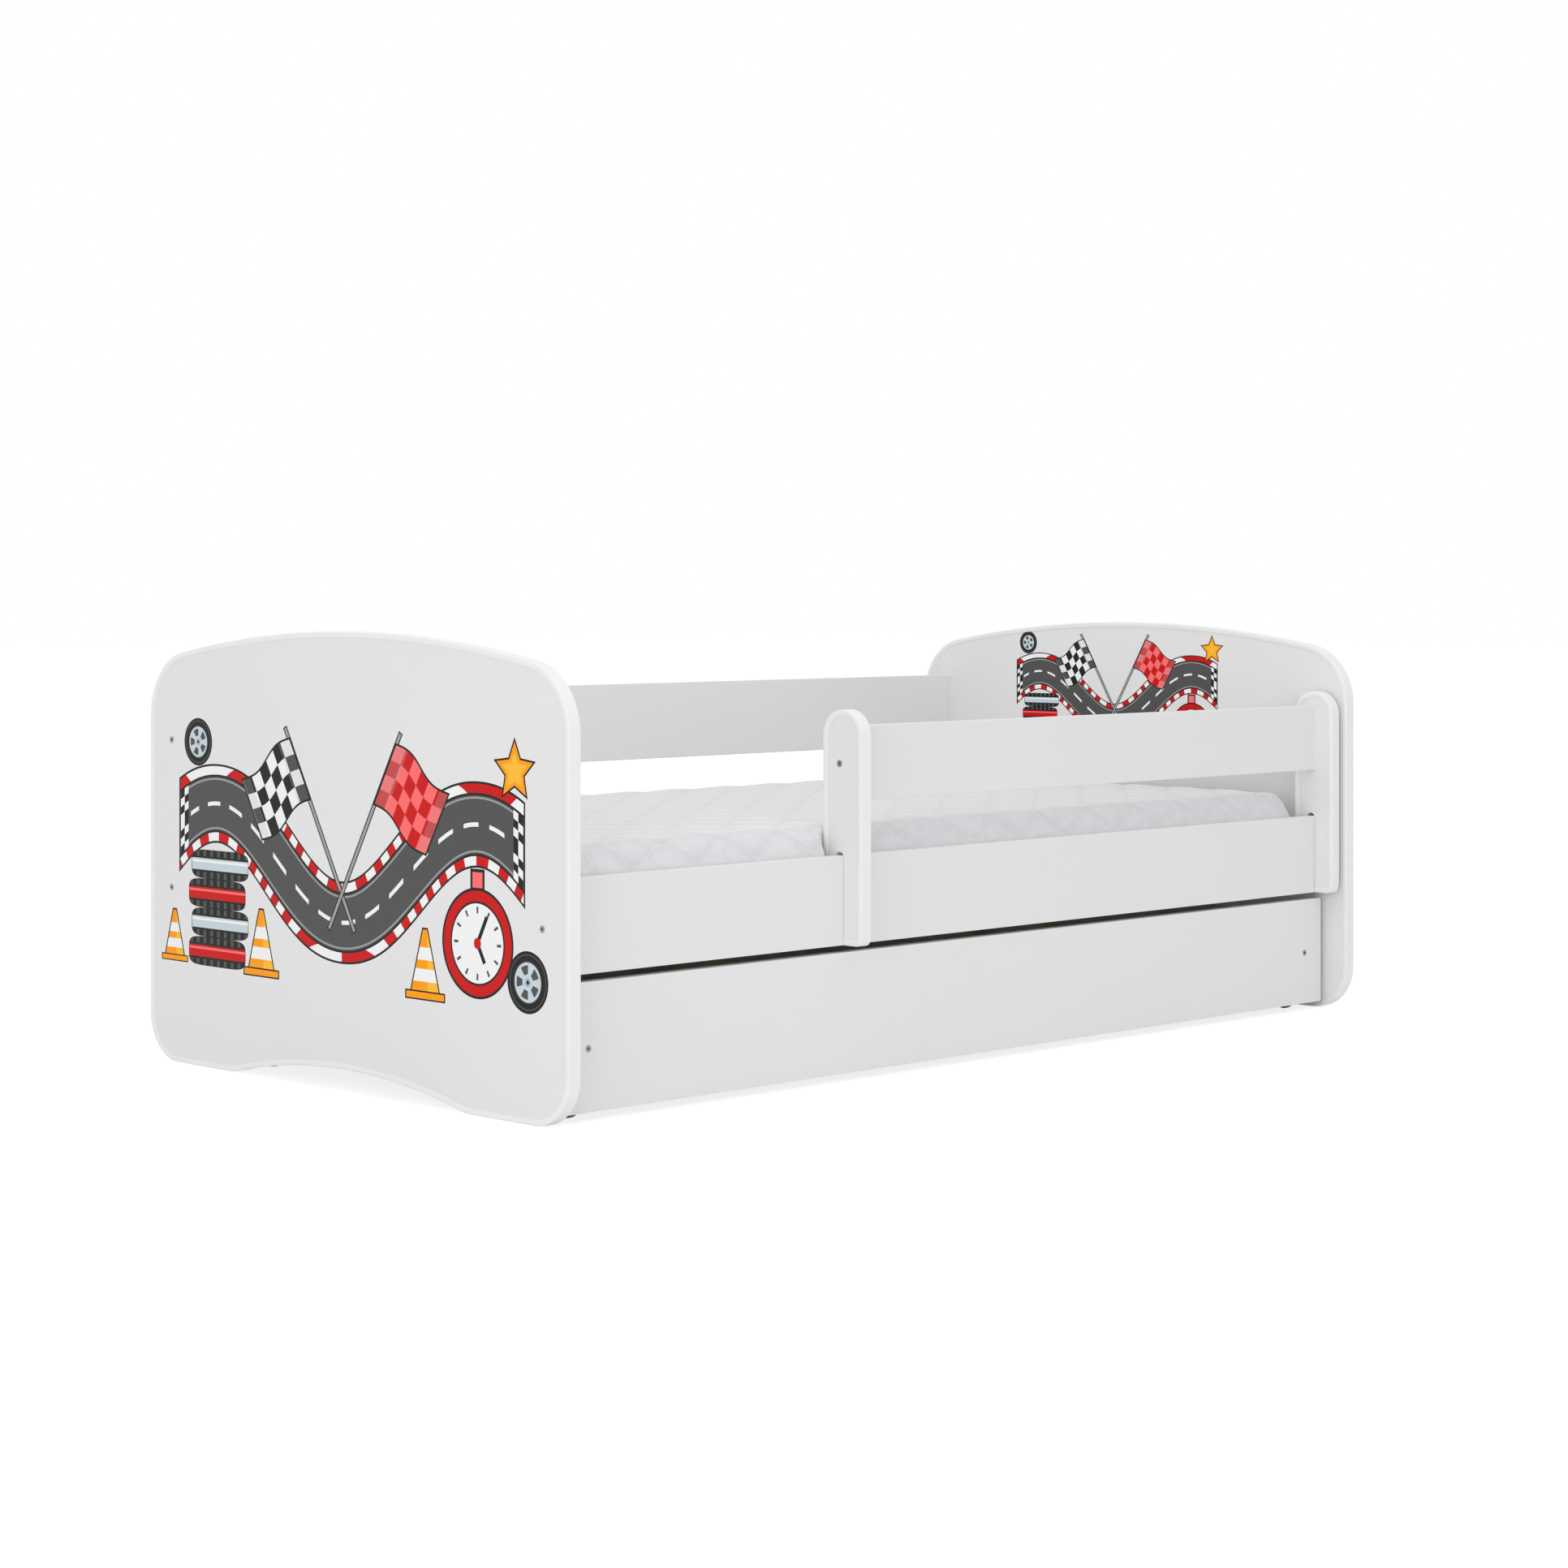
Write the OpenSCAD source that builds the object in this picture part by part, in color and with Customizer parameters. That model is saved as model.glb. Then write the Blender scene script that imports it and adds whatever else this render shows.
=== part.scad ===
// Kids bed for a 160 x 80 cm mattress. Two arched end boards wrapped in soft edging carry three rails and a
// slatted base. A guard lifts off the front rail on forked posts, and a full-length drawer rolls on castors.
// Origin at the middle of the floor plan, on the floor. +X to the headboard, -Y to the front, +Z up.

/* [Mattress] */
// Length of the mattress
mattress_l = 1600; // [1500:10:2000]
// Width of the mattress
mattress_w = 800; // [700:10:1000]
// Height of the mattress at its border
mattress_h = 90; // [70:1:120]
// How far the middle of the top stands above its border
crown = 6; // [0:0.5:12]
// Depth of the quilting channels
quilt_depth = 5; // [2:0.5:8]
// Quilted diamonds along the length
quilt_along = 14; // [8:1:16]
// Quilted diamonds across the width
quilt_across = 8; // [4:1:10]
// How far the waist of the border pulls in
border_waist = 4; // [0:0.5:6]
// How far the corners are drawn in
corner_draw = 6; // [0:1:7]
// How far the soft upper edge of the border leans in
shoulder_in = 20; // [12:1:30]
// Height of the soft upper edge
shoulder_down = 40; // [25:1:50]
// Roundness of the border's lower edge
border_round = 12; // [8:1:18]
// Thickness of the quilted cover
cover_t = 14; // [14:1:20]
// Gap between the mattress and each long rail
mattress_side_gap = 1; // [0.5:0.1:4]
// Gap between the mattress and the headboard
mattress_head_gap = 32; // [30:1:60]
// Gap between the mattress and the footboard
mattress_foot_gap = 18; // [5:1:60]

/* [End boards] */
// Height of the end boards at the middle of the arch
board_h = 624; // [590:1:720]
// Thickness of the end boards and of the guard posts
board_t = 18; // [16:0.5:22]
// Distance from the end board's front edge to the rail's front face
rail_setback = 45; // [42:1:80]
// Radius of the arched top
arch_r = 2200; // [1500:10:4000]
// Radius of the upper corners
shoulder_r = 95; // [60:1:120]
// Radius of the lower corners
foot_r = 68; // [30:1:90]
// Rise of the cut-out between the feet
cutout_rise = 30; // [15:1:45]
// Radius of the cut-out
cutout_r = 1130; // [900:10:1600]
// Radius that blends the cut-out into the feet
cutout_blend_r = 140; // [80:1:200]

/* [Edging] */
// Reach of the edging's lips over the board's faces
lip_reach = 8; // [6:0.5:12]
// Thickness of the lips
lip_t = 1; // [0.6:0.1:2]
// Thickness of the edging across the board's edge
edging_web = 3; // [2.5:0.1:4]
// Radius of the edging's outer corners
edging_r = 4.5; // [2:0.1:5]

/* [Rails] */
// Thickness of the rails, the guard board and the drawer panels
rail_t = 16; // [15:0.5:19]
// Height of each rail
rail_h = 124; // [110:1:150]
// Height of the lower rails above the floor
rail_z = 189; // [170:1:220]
// Height of the rear upper rail above the floor
upper_rail_z = 402; // [385:1:410]
// Radius along the panels' long edges
panel_edge_r = 1; // [0.5:0.1:2]

/* [Slatted base] */
// Number of slats
slat_n = 12; // [8:1:16]
// Width of a slat
slat_w = 70; // [50:1:80]
// Thickness of a slat
slat_t = 14; // [10:1:20]
// Gap between a slat's end and the rail
slat_end_gap = 2; // [1:0.5:6]
// Distance from the end board to the first slat
slat_margin = 30; // [25:1:60]
// Thickness of a slat batten
batten_t = 22; // [18:1:30]
// Height of a slat batten
batten_h = 30; // [20:1:40]
// Height of the slats' upper faces above the floor
slat_top_z = 262; // [250:1:270]
// Width of a slat tape
tape_w = 25; // [15:1:40]
// Thickness of a slat tape
tape_t = 1.2; // [0.8:0.1:2]
// Distance of each slat tape from the middle of the bed
tape_y = 250; // [150:5:300]

/* [Guard] */
// Length of the guard over its posts
guard_l = 1121; // [600:1:1300]
// Height of the guard board
guard_h = 104; // [80:1:120]
// Height of the guard board's lower edge above the floor
guard_z = 388; // [370:1:400]
// Gap between the guard and the headboard
guard_head_gap = 6.5; // [4:0.5:9]
// Depth of a post from front to back
post_d = 74; // [70:1:90]
// How far a post stands in front of the rail
post_nose = 35; // [32:1:42]
// Height of the posts' round tops above the floor
post_top_z = 515; // [505:1:540]
// Width of the fork's slot
slot_w = 17; // [16.6:0.1:20]
// Height over which the toe of a post curves in
toe_h = 22; // [15:1:40]
// Radius of the toe's curve
toe_r = 70; // [50:1:120]
// Radius of the posts' lower corners
post_corner_r = 9; // [8.5:0.1:11]
// Height of the fork's inner leg above the slats
inner_leg_gap = 4; // [2:0.5:10]

/* [Drawer] */
// Depth of the drawer from its front face to its back face
drawer_depth = 700; // [500:1:760]
// Height of the drawer front above the floor
drawer_floor_gap = 11.6; // [8:0.1:15]
// Gap between the drawer front and the front rail
drawer_top_gap = 10; // [4:0.5:16]
// Gap between the drawer front and each end board
drawer_end_gap = 9; // [5:0.5:20]
// Radius of the drawer front's corners
drawer_corner_r = 3; // [1:0.5:8]
// Distance from the end of the drawer front to the middle of a side
drawer_side_inset = 44; // [30:1:100]
// Height of the drawer's sides, back and divider
drawer_side_h = 120; // [90:1:130]
// Thickness of the drawer bottom
bottom_t = 3; // [2.5:0.1:5]
// Depth of the grooves that hold the bottom
groove_depth = 6; // [4:0.5:7]
// Height of the bottom above the sides' lower edges
bottom_lift = 10; // [7:0.5:20]

/* [Castors] */
// Diameter of a castor wheel
wheel_d = 32; // [26:1:34]
// Width of a castor wheel's tread
wheel_w = 10; // [8:0.5:10]
// Height of a castor from the floor to its plate's upper face
castor_h = 40; // [38:0.5:46]
// Distance from the end of a drawer side to a castor's axle
castor_inset = 24; // [22.5:0.5:60]
// Diameter of a castor axle
axle_d = 4; // [3:0.1:5]
// Length of a castor's plate
castor_plate_l = 44; // [42:1:45]
// Thickness of a castor's plate
castor_plate_t = 2; // [1.5:0.1:3]
// Thickness of a castor's ears
ear_t = 1.5; // [1:0.1:1.6]

/* [Fasteners] */
// Length of a connecting screw
screw_l = 50; // [40:1:70]
// Diameter of a connecting screw's head
screw_head_d = 10; // [8:0.1:11]
// Diameter of a connecting screw's shank
screw_shank_d = 7; // [6:0.1:7.5]
// Diameter of a connecting screw's threaded end
screw_core_d = 5; // [4:0.1:6]
// Width across the flats of the hexagon socket
socket_w = 4; // [3:0.1:5]
// Diameter of a dowel
dowel_d = 8; // [6:0.1:8]
// Length of a dowel
dowel_l = 30; // [25:1:40]
// Distance of each dowel from the screw beside it
dowel_offset = 35; // [20:1:42]
// Diameter of a wood screw's head
wood_head_d = 7; // [6:0.1:8]
// Diameter of a wood screw's shank
wood_shank_d = 3.5; // [3:0.1:4]

/* [Hidden] */

$fn = 64;
// Facets of the panels' small corners
corner_fn = 16;
// Overreach of a cutting shape past the face it cuts
past = 1;
// Greatest distance between an outline's chords and the arc that they follow
facet_sag = 0.08;
// Slack of a glued or screwed piece in its hole or groove
fit = 0.1;
// Depth of a hole beyond the end of its screw or dowel
hole_end = 1;
// Glue line between a board's edge and its edging
glue_gap = 0.15;
// Gap that separates pieces of different bodies which rest on each other
seat_gap = 0.3;
// Running clearance of a castor wheel on its axle, on the radius
running_fit = 0.05;

// Inside of the frame
inner_l = mattress_l + mattress_head_gap + mattress_foot_gap;
inner_w = mattress_w + 2 * mattress_side_gap;
face_x = inner_l / 2;
rail_y = (inner_w + rail_t) / 2;
rail_front_y = -inner_w / 2 - rail_t;
bed_w = inner_w + 2 * rail_t + 2 * rail_setback;
rail_top_z = rail_z + rail_h;
rail_mid_z = rail_z + rail_h / 2;
upper_rail_mid_z = upper_rail_z + rail_h / 2;
edging_w = board_t + 2 * lip_t;
board_inset = edging_web + glue_gap;

// Centres and angles of the end board's arcs, each tangent to the next
arch_z = board_h - arch_r;
shoulder_y = bed_w / 2 - shoulder_r;
shoulder_a = acos(shoulder_y / (arch_r - shoulder_r));
shoulder_z = arch_z + (arch_r - shoulder_r) * sin(shoulder_a);
foot_y = bed_w / 2 - foot_r;
cutout_z = cutout_rise - cutout_r;
blend_a = asin((cutout_blend_r - cutout_z) / (cutout_r + cutout_blend_r));
blend_y = (cutout_r + cutout_blend_r) * cos(blend_a);

// An outline is a list of arcs, anticlockwise, joined by straight runs: [y, z, radius, from, to].
// A hollow arc has a negative radius. A sharp corner has radius 0 and, in place of its angles,
// the way in which it moves when the outline is drawn inset.
board_outline = [
    [foot_y, foot_r, foot_r, 270, 360],
    [shoulder_y, shoulder_z, shoulder_r, 0, shoulder_a],
    [0, arch_z, arch_r, shoulder_a, 180 - shoulder_a],
    [-shoulder_y, shoulder_z, shoulder_r, 180 - shoulder_a, 180],
    [-foot_y, foot_r, foot_r, 180, 270],
    [-blend_y, cutout_blend_r, cutout_blend_r, 270, 360 - blend_a],
    [0, cutout_z, -cutout_r, 180 - blend_a, blend_a],
    [blend_y, cutout_blend_r, cutout_blend_r, 180 + blend_a, 270]
];

// Guard posts
slot_r = slot_w / 2;
slot_front_y = -rail_y - slot_r;
slot_back_y = -rail_y + slot_r;
slot_rise = sqrt(pow(slot_r - panel_edge_r, 2) - pow(rail_t / 2 - panel_edge_r, 2));
slot_z = rail_top_z - panel_edge_r - slot_rise + seat_gap;
post_front_y = rail_front_y - post_nose;
post_back_y = post_front_y + post_d;
post_r = post_d / 2;
post_mid_y = post_front_y + post_r;
inner_leg_z = slat_top_z + inner_leg_gap;
toe_z = rail_z + toe_h;
toe_a = asin((toe_h - post_corner_r) / (toe_r - post_corner_r));
toe_corner_y = post_front_y + toe_r - (toe_r - post_corner_r) * cos(toe_a);
post_outline = [
    [slot_back_y, inner_leg_z, 0, 0, 1],
    [post_back_y - post_corner_r, inner_leg_z + post_corner_r, post_corner_r, 270, 360],
    [post_mid_y, post_top_z - post_r, post_r, 0, 180],
    [post_front_y + toe_r, toe_z, toe_r, 180, 180 + toe_a],
    [toe_corner_y, rail_z + post_corner_r, post_corner_r, 180 + toe_a, 270],
    [slot_front_y, rail_z, 0, 0, 1]
];
guard_right_x = face_x - guard_head_gap - edging_w / 2;
guard_left_x = guard_right_x - guard_l + edging_w;
guard_mid_z = guard_z + guard_h / 2;

// Mattress
mattress_z = slat_top_z + seat_gap;
mattress_mid_x = (mattress_foot_gap - mattress_head_gap) / 2;
// Gap round the post's inner leg in the mattress
notch_gap = 2;
// Gap round the foam core inside the cover
core_slack = 0.5;
// Thickness of the cover under the core
cover_base_t = cover_t / 2;

// Drawer
drawer_front_l = inner_l - 2 * drawer_end_gap;
drawer_front_h = rail_z - drawer_top_gap - drawer_floor_gap;
drawer_side_x = drawer_front_l / 2 - drawer_side_inset;
drawer_front_back_y = rail_front_y + rail_t;
drawer_back_y = rail_front_y + drawer_depth;
// How far the drawer's joints sit below the middle of its front
drawer_joint_drop = 2;
drawer_mid_z = drawer_floor_gap + drawer_front_h / 2 - drawer_joint_drop;
drawer_inner_x = drawer_side_x - rail_t / 2;
bottom_z = castor_h + bottom_lift;

// Castors
wheel_z = wheel_d / 2 + seat_gap;
castor_y = [drawer_front_back_y + castor_inset, drawer_back_y - castor_inset];
ear_r = 7;
hub_d = 10;
hub_gap = 0.3;
rivet_t = 1;
rivet_rim = 1.5;
castor_screw_y = 16;
castor_screw_l = 15;

module upright(x) {
    translate([x, 0, 0])
        rotate([90, 0, 90])
            children();
}

module both_ends() {
    children();
    mirror([1, 0, 0])
        children();
}

function arc_point(arc, inset, angle) =
    arc[2] == 0
        ? [arc[0] + inset * arc[3], arc[1] + inset * arc[4]]
        : [arc[0], arc[1]] + abs(arc[2] - inset) * [cos(angle), sin(angle)];

// Even number of steps that keep an arc's chords within facet_sag of the arc
function arc_steps(arc) =
    arc[2] == 0 ? 0 : 2 * ceil(abs(arc[4] - arc[3]) / (4 * acos(1 - facet_sag / abs(arc[2]))));

// Angles of an arc's stations, without the first where the arc before it ends there
function arc_angles(outline, i) =
    let (arc = outline[i], before = outline[i == 0 ? len(outline) - 1 : i - 1], n = arc_steps(arc),
         gap = norm(arc_point(arc, 0, arc[3]) - arc_point(before, 0, before[4])))
    n == 0 ? [0] : [for (k = [gap < fit ? 1 : 0 : n]) arc[3] + (arc[4] - arc[3]) * k / n];

// Stations along an outline, each an arc and an angle. A board and its edging share them, so that their
// chords run parallel.
function stations(outline) =
    [for (i = [0:len(outline) - 1]) for (a = arc_angles(outline, i)) [outline[i], a]];

// The area inside an outline, drawn inset
module outline_area(outline, inset) {
    polygon([for (st = stations(outline)) arc_point(st[0], inset, st[1])]);
}

// Section of the edging, anticlockwise, with four points to a corner: the reach outwards from the board,
// and the place across its thickness
edging_half = edging_w / 2;
edging_section = concat(
    [[-lip_reach, -edging_half]],
    [for (a = [0:30:90]) [edging_r * (sin(a) - 1), -edging_half + edging_r * (1 - cos(a))]],
    [for (a = [0:30:90]) [edging_r * (cos(a) - 1), edging_half - edging_r * (1 - sin(a))]],
    [[-lip_reach, edging_half], [-lip_reach, board_t / 2], [-edging_web, board_t / 2],
     [-edging_web, -board_t / 2], [-lip_reach, -board_t / 2]]
);

// The section's convex parts, which close the edging where it is cut off: lip, corner, web, corner and lip
section_parts = [[13, 0, 1, 12], [12, 1, 2, 3, 4], [12, 4, 5, 11], [11, 5, 6, 7, 8], [11, 8, 9, 10]];

// The edging: its section swept along an outline, as one closed skin. An outline that begins and ends
// with sharp corners is left open between them.
module edging(outline) {
    open = outline[0][2] == 0;
    along = stations(outline);
    count = len(along);
    m = len(edging_section);
    points = [for (st = along) for (q = edging_section)
        let (p = arc_point(st[0], -q[0], st[1])) [p[0], p[1], q[1]]];
    sides = [for (k = [0:open ? count - 2 : count - 1]) for (j = [0:m - 1])
        let (a = k * m, b = (k + 1) % count * m, i = (j + 1) % m)
        each [[a + j, a + i, b + i], [a + j, b + i, b + j]]];
    first_cap = [for (part = section_parts) [for (j = [len(part) - 1:-1:0]) part[j]]];
    last_cap = [for (part = section_parts) [for (j = part) (count - 1) * m + j]];
    caps = open ? concat(first_cap, last_cap) : [];
    polyhedron(points = points, faces = concat(sides, caps), convexity = 8);
}

module rounded_rect(w, h, r) {
    translate([r, 0])
        square([w - 2 * r, h]);
    translate([0, r])
        square([w, h - 2 * r]);
    for (x = [r, w - r]) {
        for (y = [r, h - r]) {
            translate([x, y])
                circle(r, $fn = corner_fn);
        }
    }
}

// A panel along X with eased long edges
module long_panel(from_x, to_x, y, z, t, h) {
    upright(from_x)
        linear_extrude(to_x - from_x)
            translate([y - t / 2, z])
                rounded_rect(t, h, panel_edge_r);
}

// Holes are drawn as their screw or dowel, grown all round and deeper by this much
function deeper(grow) = grow > 0 ? hole_end : 0;

// Connecting screw along +Z, its head's face at the origin
module screw(panel_t, grow = 0) {
    head_h = screw_head_d - screw_shank_d;
    difference() {
        union() {
            cylinder(h = head_h, d1 = screw_head_d + 2 * grow, d2 = screw_shank_d + 2 * grow);
            if (grow > 0) {
                translate([0, 0, -past])
                    cylinder(h = past, d = screw_head_d + 2 * grow);
            }
            cylinder(h = panel_t, d = screw_shank_d + 2 * grow);
            cylinder(h = screw_l + deeper(grow), d = screw_core_d + 2 * grow);
        }
        if (grow == 0) {
            translate([0, 0, -past])
                cylinder(h = head_h + past, d = socket_w / cos(30), $fn = 6);
        }
    }
}

// Dowel along +Z, a third of it behind the joint's face
module dowel(grow = 0) {
    translate([0, 0, -dowel_l / 3 - deeper(grow)])
        cylinder(h = dowel_l + 2 * deeper(grow), d = dowel_d + 2 * grow);
}

// Wood screw along +Z, its countersunk head's face at the origin
module wood_screw(l, grow = 0) {
    head_h = (wood_head_d - wood_shank_d) / 2;
    cylinder(h = head_h, d1 = wood_head_d + 2 * grow, d2 = wood_shank_d + 2 * grow);
    cylinder(h = l + deeper(grow), d = wood_shank_d + 2 * grow);
    if (grow > 0) {
        translate([0, 0, -past])
            cylinder(h = past, d = wood_head_d + 2 * grow);
    }
}

// Places of the rails' screws on an end board
rail_joints = [[-rail_y, rail_mid_z], [rail_y, rail_mid_z], [rail_y, upper_rail_mid_z]];

// The screws and dowels that hold the rails to the board at the headboard end
module rail_screw_set(grow = 0) {
    for (p = rail_joints) {
        translate([face_x + board_t, p[0], p[1]])
            rotate([0, -90, 0])
                screw(board_t, grow);
    }
}

module rail_dowel_set(grow = 0) {
    for (p = rail_joints) {
        for (s = [-1, 1]) {
            translate([face_x, p[0], p[1] + s * dowel_offset])
                rotate([0, -90, 0])
                    dowel(grow);
        }
    }
}

module rail_fixings() {
    both_ends()
        rail_screw_set(fit);
    both_ends()
        rail_dowel_set(fit);
}

module end_board() {
    difference() {
        upright(face_x)
            linear_extrude(board_t)
                outline_area(board_outline, board_inset);
        rail_screw_set(fit);
        rail_dowel_set(fit);
    }
}

module footboard() {
    color("white")
        mirror([1, 0, 0])
            end_board();
}

module headboard() {
    color("white")
        end_board();
}

module footboard_edging() {
    color("whitesmoke")
        upright(-face_x - board_t / 2)
            edging(board_outline);
}

module headboard_edging() {
    color("whitesmoke")
        upright(face_x + board_t / 2)
            edging(board_outline);
}

module rail(y, z) {
    color("white")
        difference() {
            long_panel(-face_x, face_x, y, z, rail_t, rail_h);
            rail_fixings();
        }
}

module front_rail() {
    difference() {
        rail(-rail_y, rail_z);
        batten_screw_set(fit);
    }
}

module rear_lower_rail() {
    difference() {
        rail(rail_y, rail_z);
        mirror([0, 1, 0])
            batten_screw_set(fit);
    }
}

module rear_upper_rail() {
    rail(rail_y, upper_rail_z);
}

// Gap between a batten's end and the end board
batten_gap = 5;
batten_screw_n = 6;
// Thickness of rail left beyond a batten screw's tip
batten_screw_skin = 4;
batten_screw_l = batten_t + rail_t - batten_screw_skin;
batten_top_z = slat_top_z - slat_t;
batten_y = inner_w / 2 - batten_t / 2;
// Distance from the outermost slat to the first batten screw
batten_screw_clear = 20;
batten_screw_inset = slat_margin + slat_w + batten_screw_clear;
batten_screw_pitch = (inner_l - 2 * batten_screw_inset) / (batten_screw_n - 1);

module batten_screw_set(grow = 0) {
    for (i = [0:batten_screw_n - 1]) {
        translate([-inner_l / 2 + batten_screw_inset + i * batten_screw_pitch,
                   -inner_w / 2 + batten_t, batten_top_z - batten_h / 2])
            rotate([90, 0, 0])
                wood_screw(batten_screw_l, grow);
    }
}

module slat_batten() {
    difference() {
        long_panel(-face_x + batten_gap, face_x - batten_gap, -batten_y, batten_top_z - batten_h,
                   batten_t, batten_h);
        batten_screw_set(fit);
        slat_screw_set(fit);
    }
}

module front_slat_batten() {
    color("burlywood")
        slat_batten();
}

module rear_slat_batten() {
    color("burlywood")
        mirror([0, 1, 0])
            slat_batten();
}

module batten_screws() {
    color("silver") {
        batten_screw_set();
        mirror([0, 1, 0])
            batten_screw_set();
    }
}

slat_l = inner_w - 2 * slat_end_gap;
slat_pitch = (inner_l - 2 * slat_margin - slat_w) / (slat_n - 1);
first_slat_x = -inner_l / 2 + slat_margin + slat_w / 2;
slat_edge_r = 2;

// The four screws that hold the outermost slats, at the front batten
module slat_screw_set(grow = 0) {
    for (x = [first_slat_x, -first_slat_x]) {
        translate([x, -batten_y, slat_top_z])
            rotate([180, 0, 0])
                wood_screw(slat_t + batten_h / 2, grow);
    }
}

module slats() {
    color("burlywood")
        difference() {
            for (i = [0:slat_n - 1]) {
                translate([first_slat_x + i * slat_pitch, slat_l / 2, slat_top_z - slat_t])
                    rotate([90, 0, 0])
                        linear_extrude(slat_l)
                            translate([-slat_w / 2, 0])
                                rounded_rect(slat_w, slat_t, slat_edge_r);
            }
            slat_screw_set(fit);
            mirror([0, 1, 0])
                slat_screw_set(fit);
        }
}

module slat_tapes() {
    color("ivory")
        for (s = [-1, 1]) {
            translate([first_slat_x, s * tape_y - tape_w / 2, batten_top_z - tape_t])
                cube([-2 * first_slat_x, tape_w, tape_t]);
        }
}

module slat_screws() {
    color("silver") {
        slat_screw_set();
        mirror([0, 1, 0])
            slat_screw_set();
    }
}

module rail_screws() {
    color("rosybrown")
        both_ends()
            rail_screw_set();
}

module rail_dowels() {
    color("burlywood")
        both_ends()
            rail_dowel_set();
}

// The dent that the left post's inner leg presses into the mattress
module post_notch(grow = 0) {
    w = edging_w + 2 * (notch_gap + grow);
    back_y = post_back_y + notch_gap + grow;
    translate([guard_left_x - w / 2, -mattress_w / 2 - past, mattress_z - past])
        cube([w, back_y + mattress_w / 2 + past, mattress_h + crown + 2 * past]);
}

// Quilted body of the mattress: a grid of points in which stitched crossings lie low and diamonds stand high
nx = 2 * quilt_along;
ny = 2 * quilt_across;

function top_height(i, j) =
    let (u = 2 * i / nx - 1, v = 2 * j / ny - 1)
    mattress_h - quilt_depth + crown * (1 - pow(u, 4)) * (1 - pow(v, 4))
    + ((i + j) % 2 == 1 ? quilt_depth : 0);

// The corners of the plan are drawn in, so that the border turns them softly
function plan_point(i, j, inset) =
    let (cornered = (i == 0 || i == nx) && (j == 0 || j == ny), pull = inset + (cornered ? corner_draw : 0),
         x = (i / nx - 0.5) * mattress_l, y = (j / ny - 0.5) * mattress_w)
    [x - (i == 0 ? -pull : i == nx ? pull : 0), y - (j == 0 ? -pull : j == ny ? pull : 0)];

// Grid places round the edge, anticlockwise
rim = concat([for (i = [0:nx - 1]) [i, 0]], [for (j = [0:ny - 1]) [nx, j]],
             [for (i = [nx:-1:1]) [i, ny]], [for (j = [ny:-1:1]) [0, j]]);

// Border rings from the bottom up: inset and height
shoulder_top_z = mattress_h - quilt_depth;
shoulder_low_z = shoulder_top_z - shoulder_down;
rings = [[border_round, 0], [0, border_round], [border_waist, (border_round + shoulder_low_z) / 2],
         [0, shoulder_low_z], [0.35 * shoulder_in, shoulder_top_z - 0.35 * shoulder_down]];

module quilted_body() {
    n = len(rim);
    top_n = (nx + 1) * (ny + 1);
    top = [for (j = [0:ny]) for (i = [0:nx])
        let (p = plan_point(i, j, shoulder_in)) [p[0], p[1], top_height(i, j)]];
    side = [for (ring = rings) for (k = rim)
        let (p = plan_point(k[0], k[1], ring[0])) [p[0], p[1], ring[1]]];
    floor_middle = [[0, 0, 0]];
    function at(i, j) = j * (nx + 1) + i;
    function on_ring(r, k) = r == len(rings) ? at(rim[k % n][0], rim[k % n][1]) : top_n + r * n + k % n;
    cells = [for (j = [0:ny - 1]) for (i = [0:nx - 1])
        each (i + j) % 2 == 0
            ? [[at(i, j), at(i + 1, j + 1), at(i + 1, j)], [at(i, j), at(i, j + 1), at(i + 1, j + 1)]]
            : [[at(i, j), at(i, j + 1), at(i + 1, j)], [at(i + 1, j), at(i, j + 1), at(i + 1, j + 1)]]];
    walls = [for (r = [0:len(rings) - 1]) for (k = [0:n - 1])
        each [[on_ring(r, k), on_ring(r + 1, k), on_ring(r + 1, k + 1)],
              [on_ring(r, k), on_ring(r + 1, k + 1), on_ring(r, k + 1)]]];
    base = [for (k = [0:n - 1]) [on_ring(0, k), on_ring(0, k + 1), top_n + len(rings) * n]];
    polyhedron(points = concat(top, side, floor_middle), faces = concat(cells, walls, base));
}

// Foam block, kept inside the soft upper edge of its cover
module core_block(grow = 0) {
    side = max(cover_t, shoulder_in) - grow;
    difference() {
        translate([mattress_mid_x + side - mattress_l / 2, side - mattress_w / 2,
                   mattress_z + cover_base_t - grow])
            cube([mattress_l - 2 * side, mattress_w - 2 * side,
                  mattress_h - cover_t - cover_base_t + 2 * grow]);
        post_notch(cover_t - grow);
    }
}

module mattress_cover() {
    color("white")
        difference() {
            translate([mattress_mid_x, 0, mattress_z])
                quilted_body();
            post_notch();
            core_block(core_slack);
        }
}

module mattress_core() {
    color("lightyellow")
        core_block();
}

// The guard's screws and dowels at one post, along +X from its outer face
module guard_screw_at(grow = 0) {
    translate([-board_t / 2, -rail_y, guard_mid_z])
        rotate([0, 90, 0])
            screw(board_t, grow);
}

module guard_dowels_at(grow = 0) {
    for (s = [-1, 1]) {
        translate([board_t / 2, -rail_y, guard_mid_z + s * dowel_offset])
            rotate([0, 90, 0])
                dowel(grow);
    }
}

module at_posts() {
    translate([guard_left_x, 0, 0])
        children();
    translate([guard_right_x, 0, 0])
        mirror([1, 0, 0])
            children();
}

// Post of the guard: a round-topped board whose fork straddles the front rail
module guard_post() {
    difference() {
        upright(-board_t / 2)
            linear_extrude(board_t)
                difference() {
                    outline_area(post_outline, board_inset);
                    translate([slot_front_y, rail_z - past])
                        square([slot_w, slot_z - rail_z + past]);
                    translate([-rail_y, slot_z])
                        circle(slot_r);
                }
        guard_screw_at(fit);
        guard_dowels_at(fit);
    }
}

module guard_left_post() {
    color("white")
        translate([guard_left_x, 0, 0])
            guard_post();
}

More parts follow.
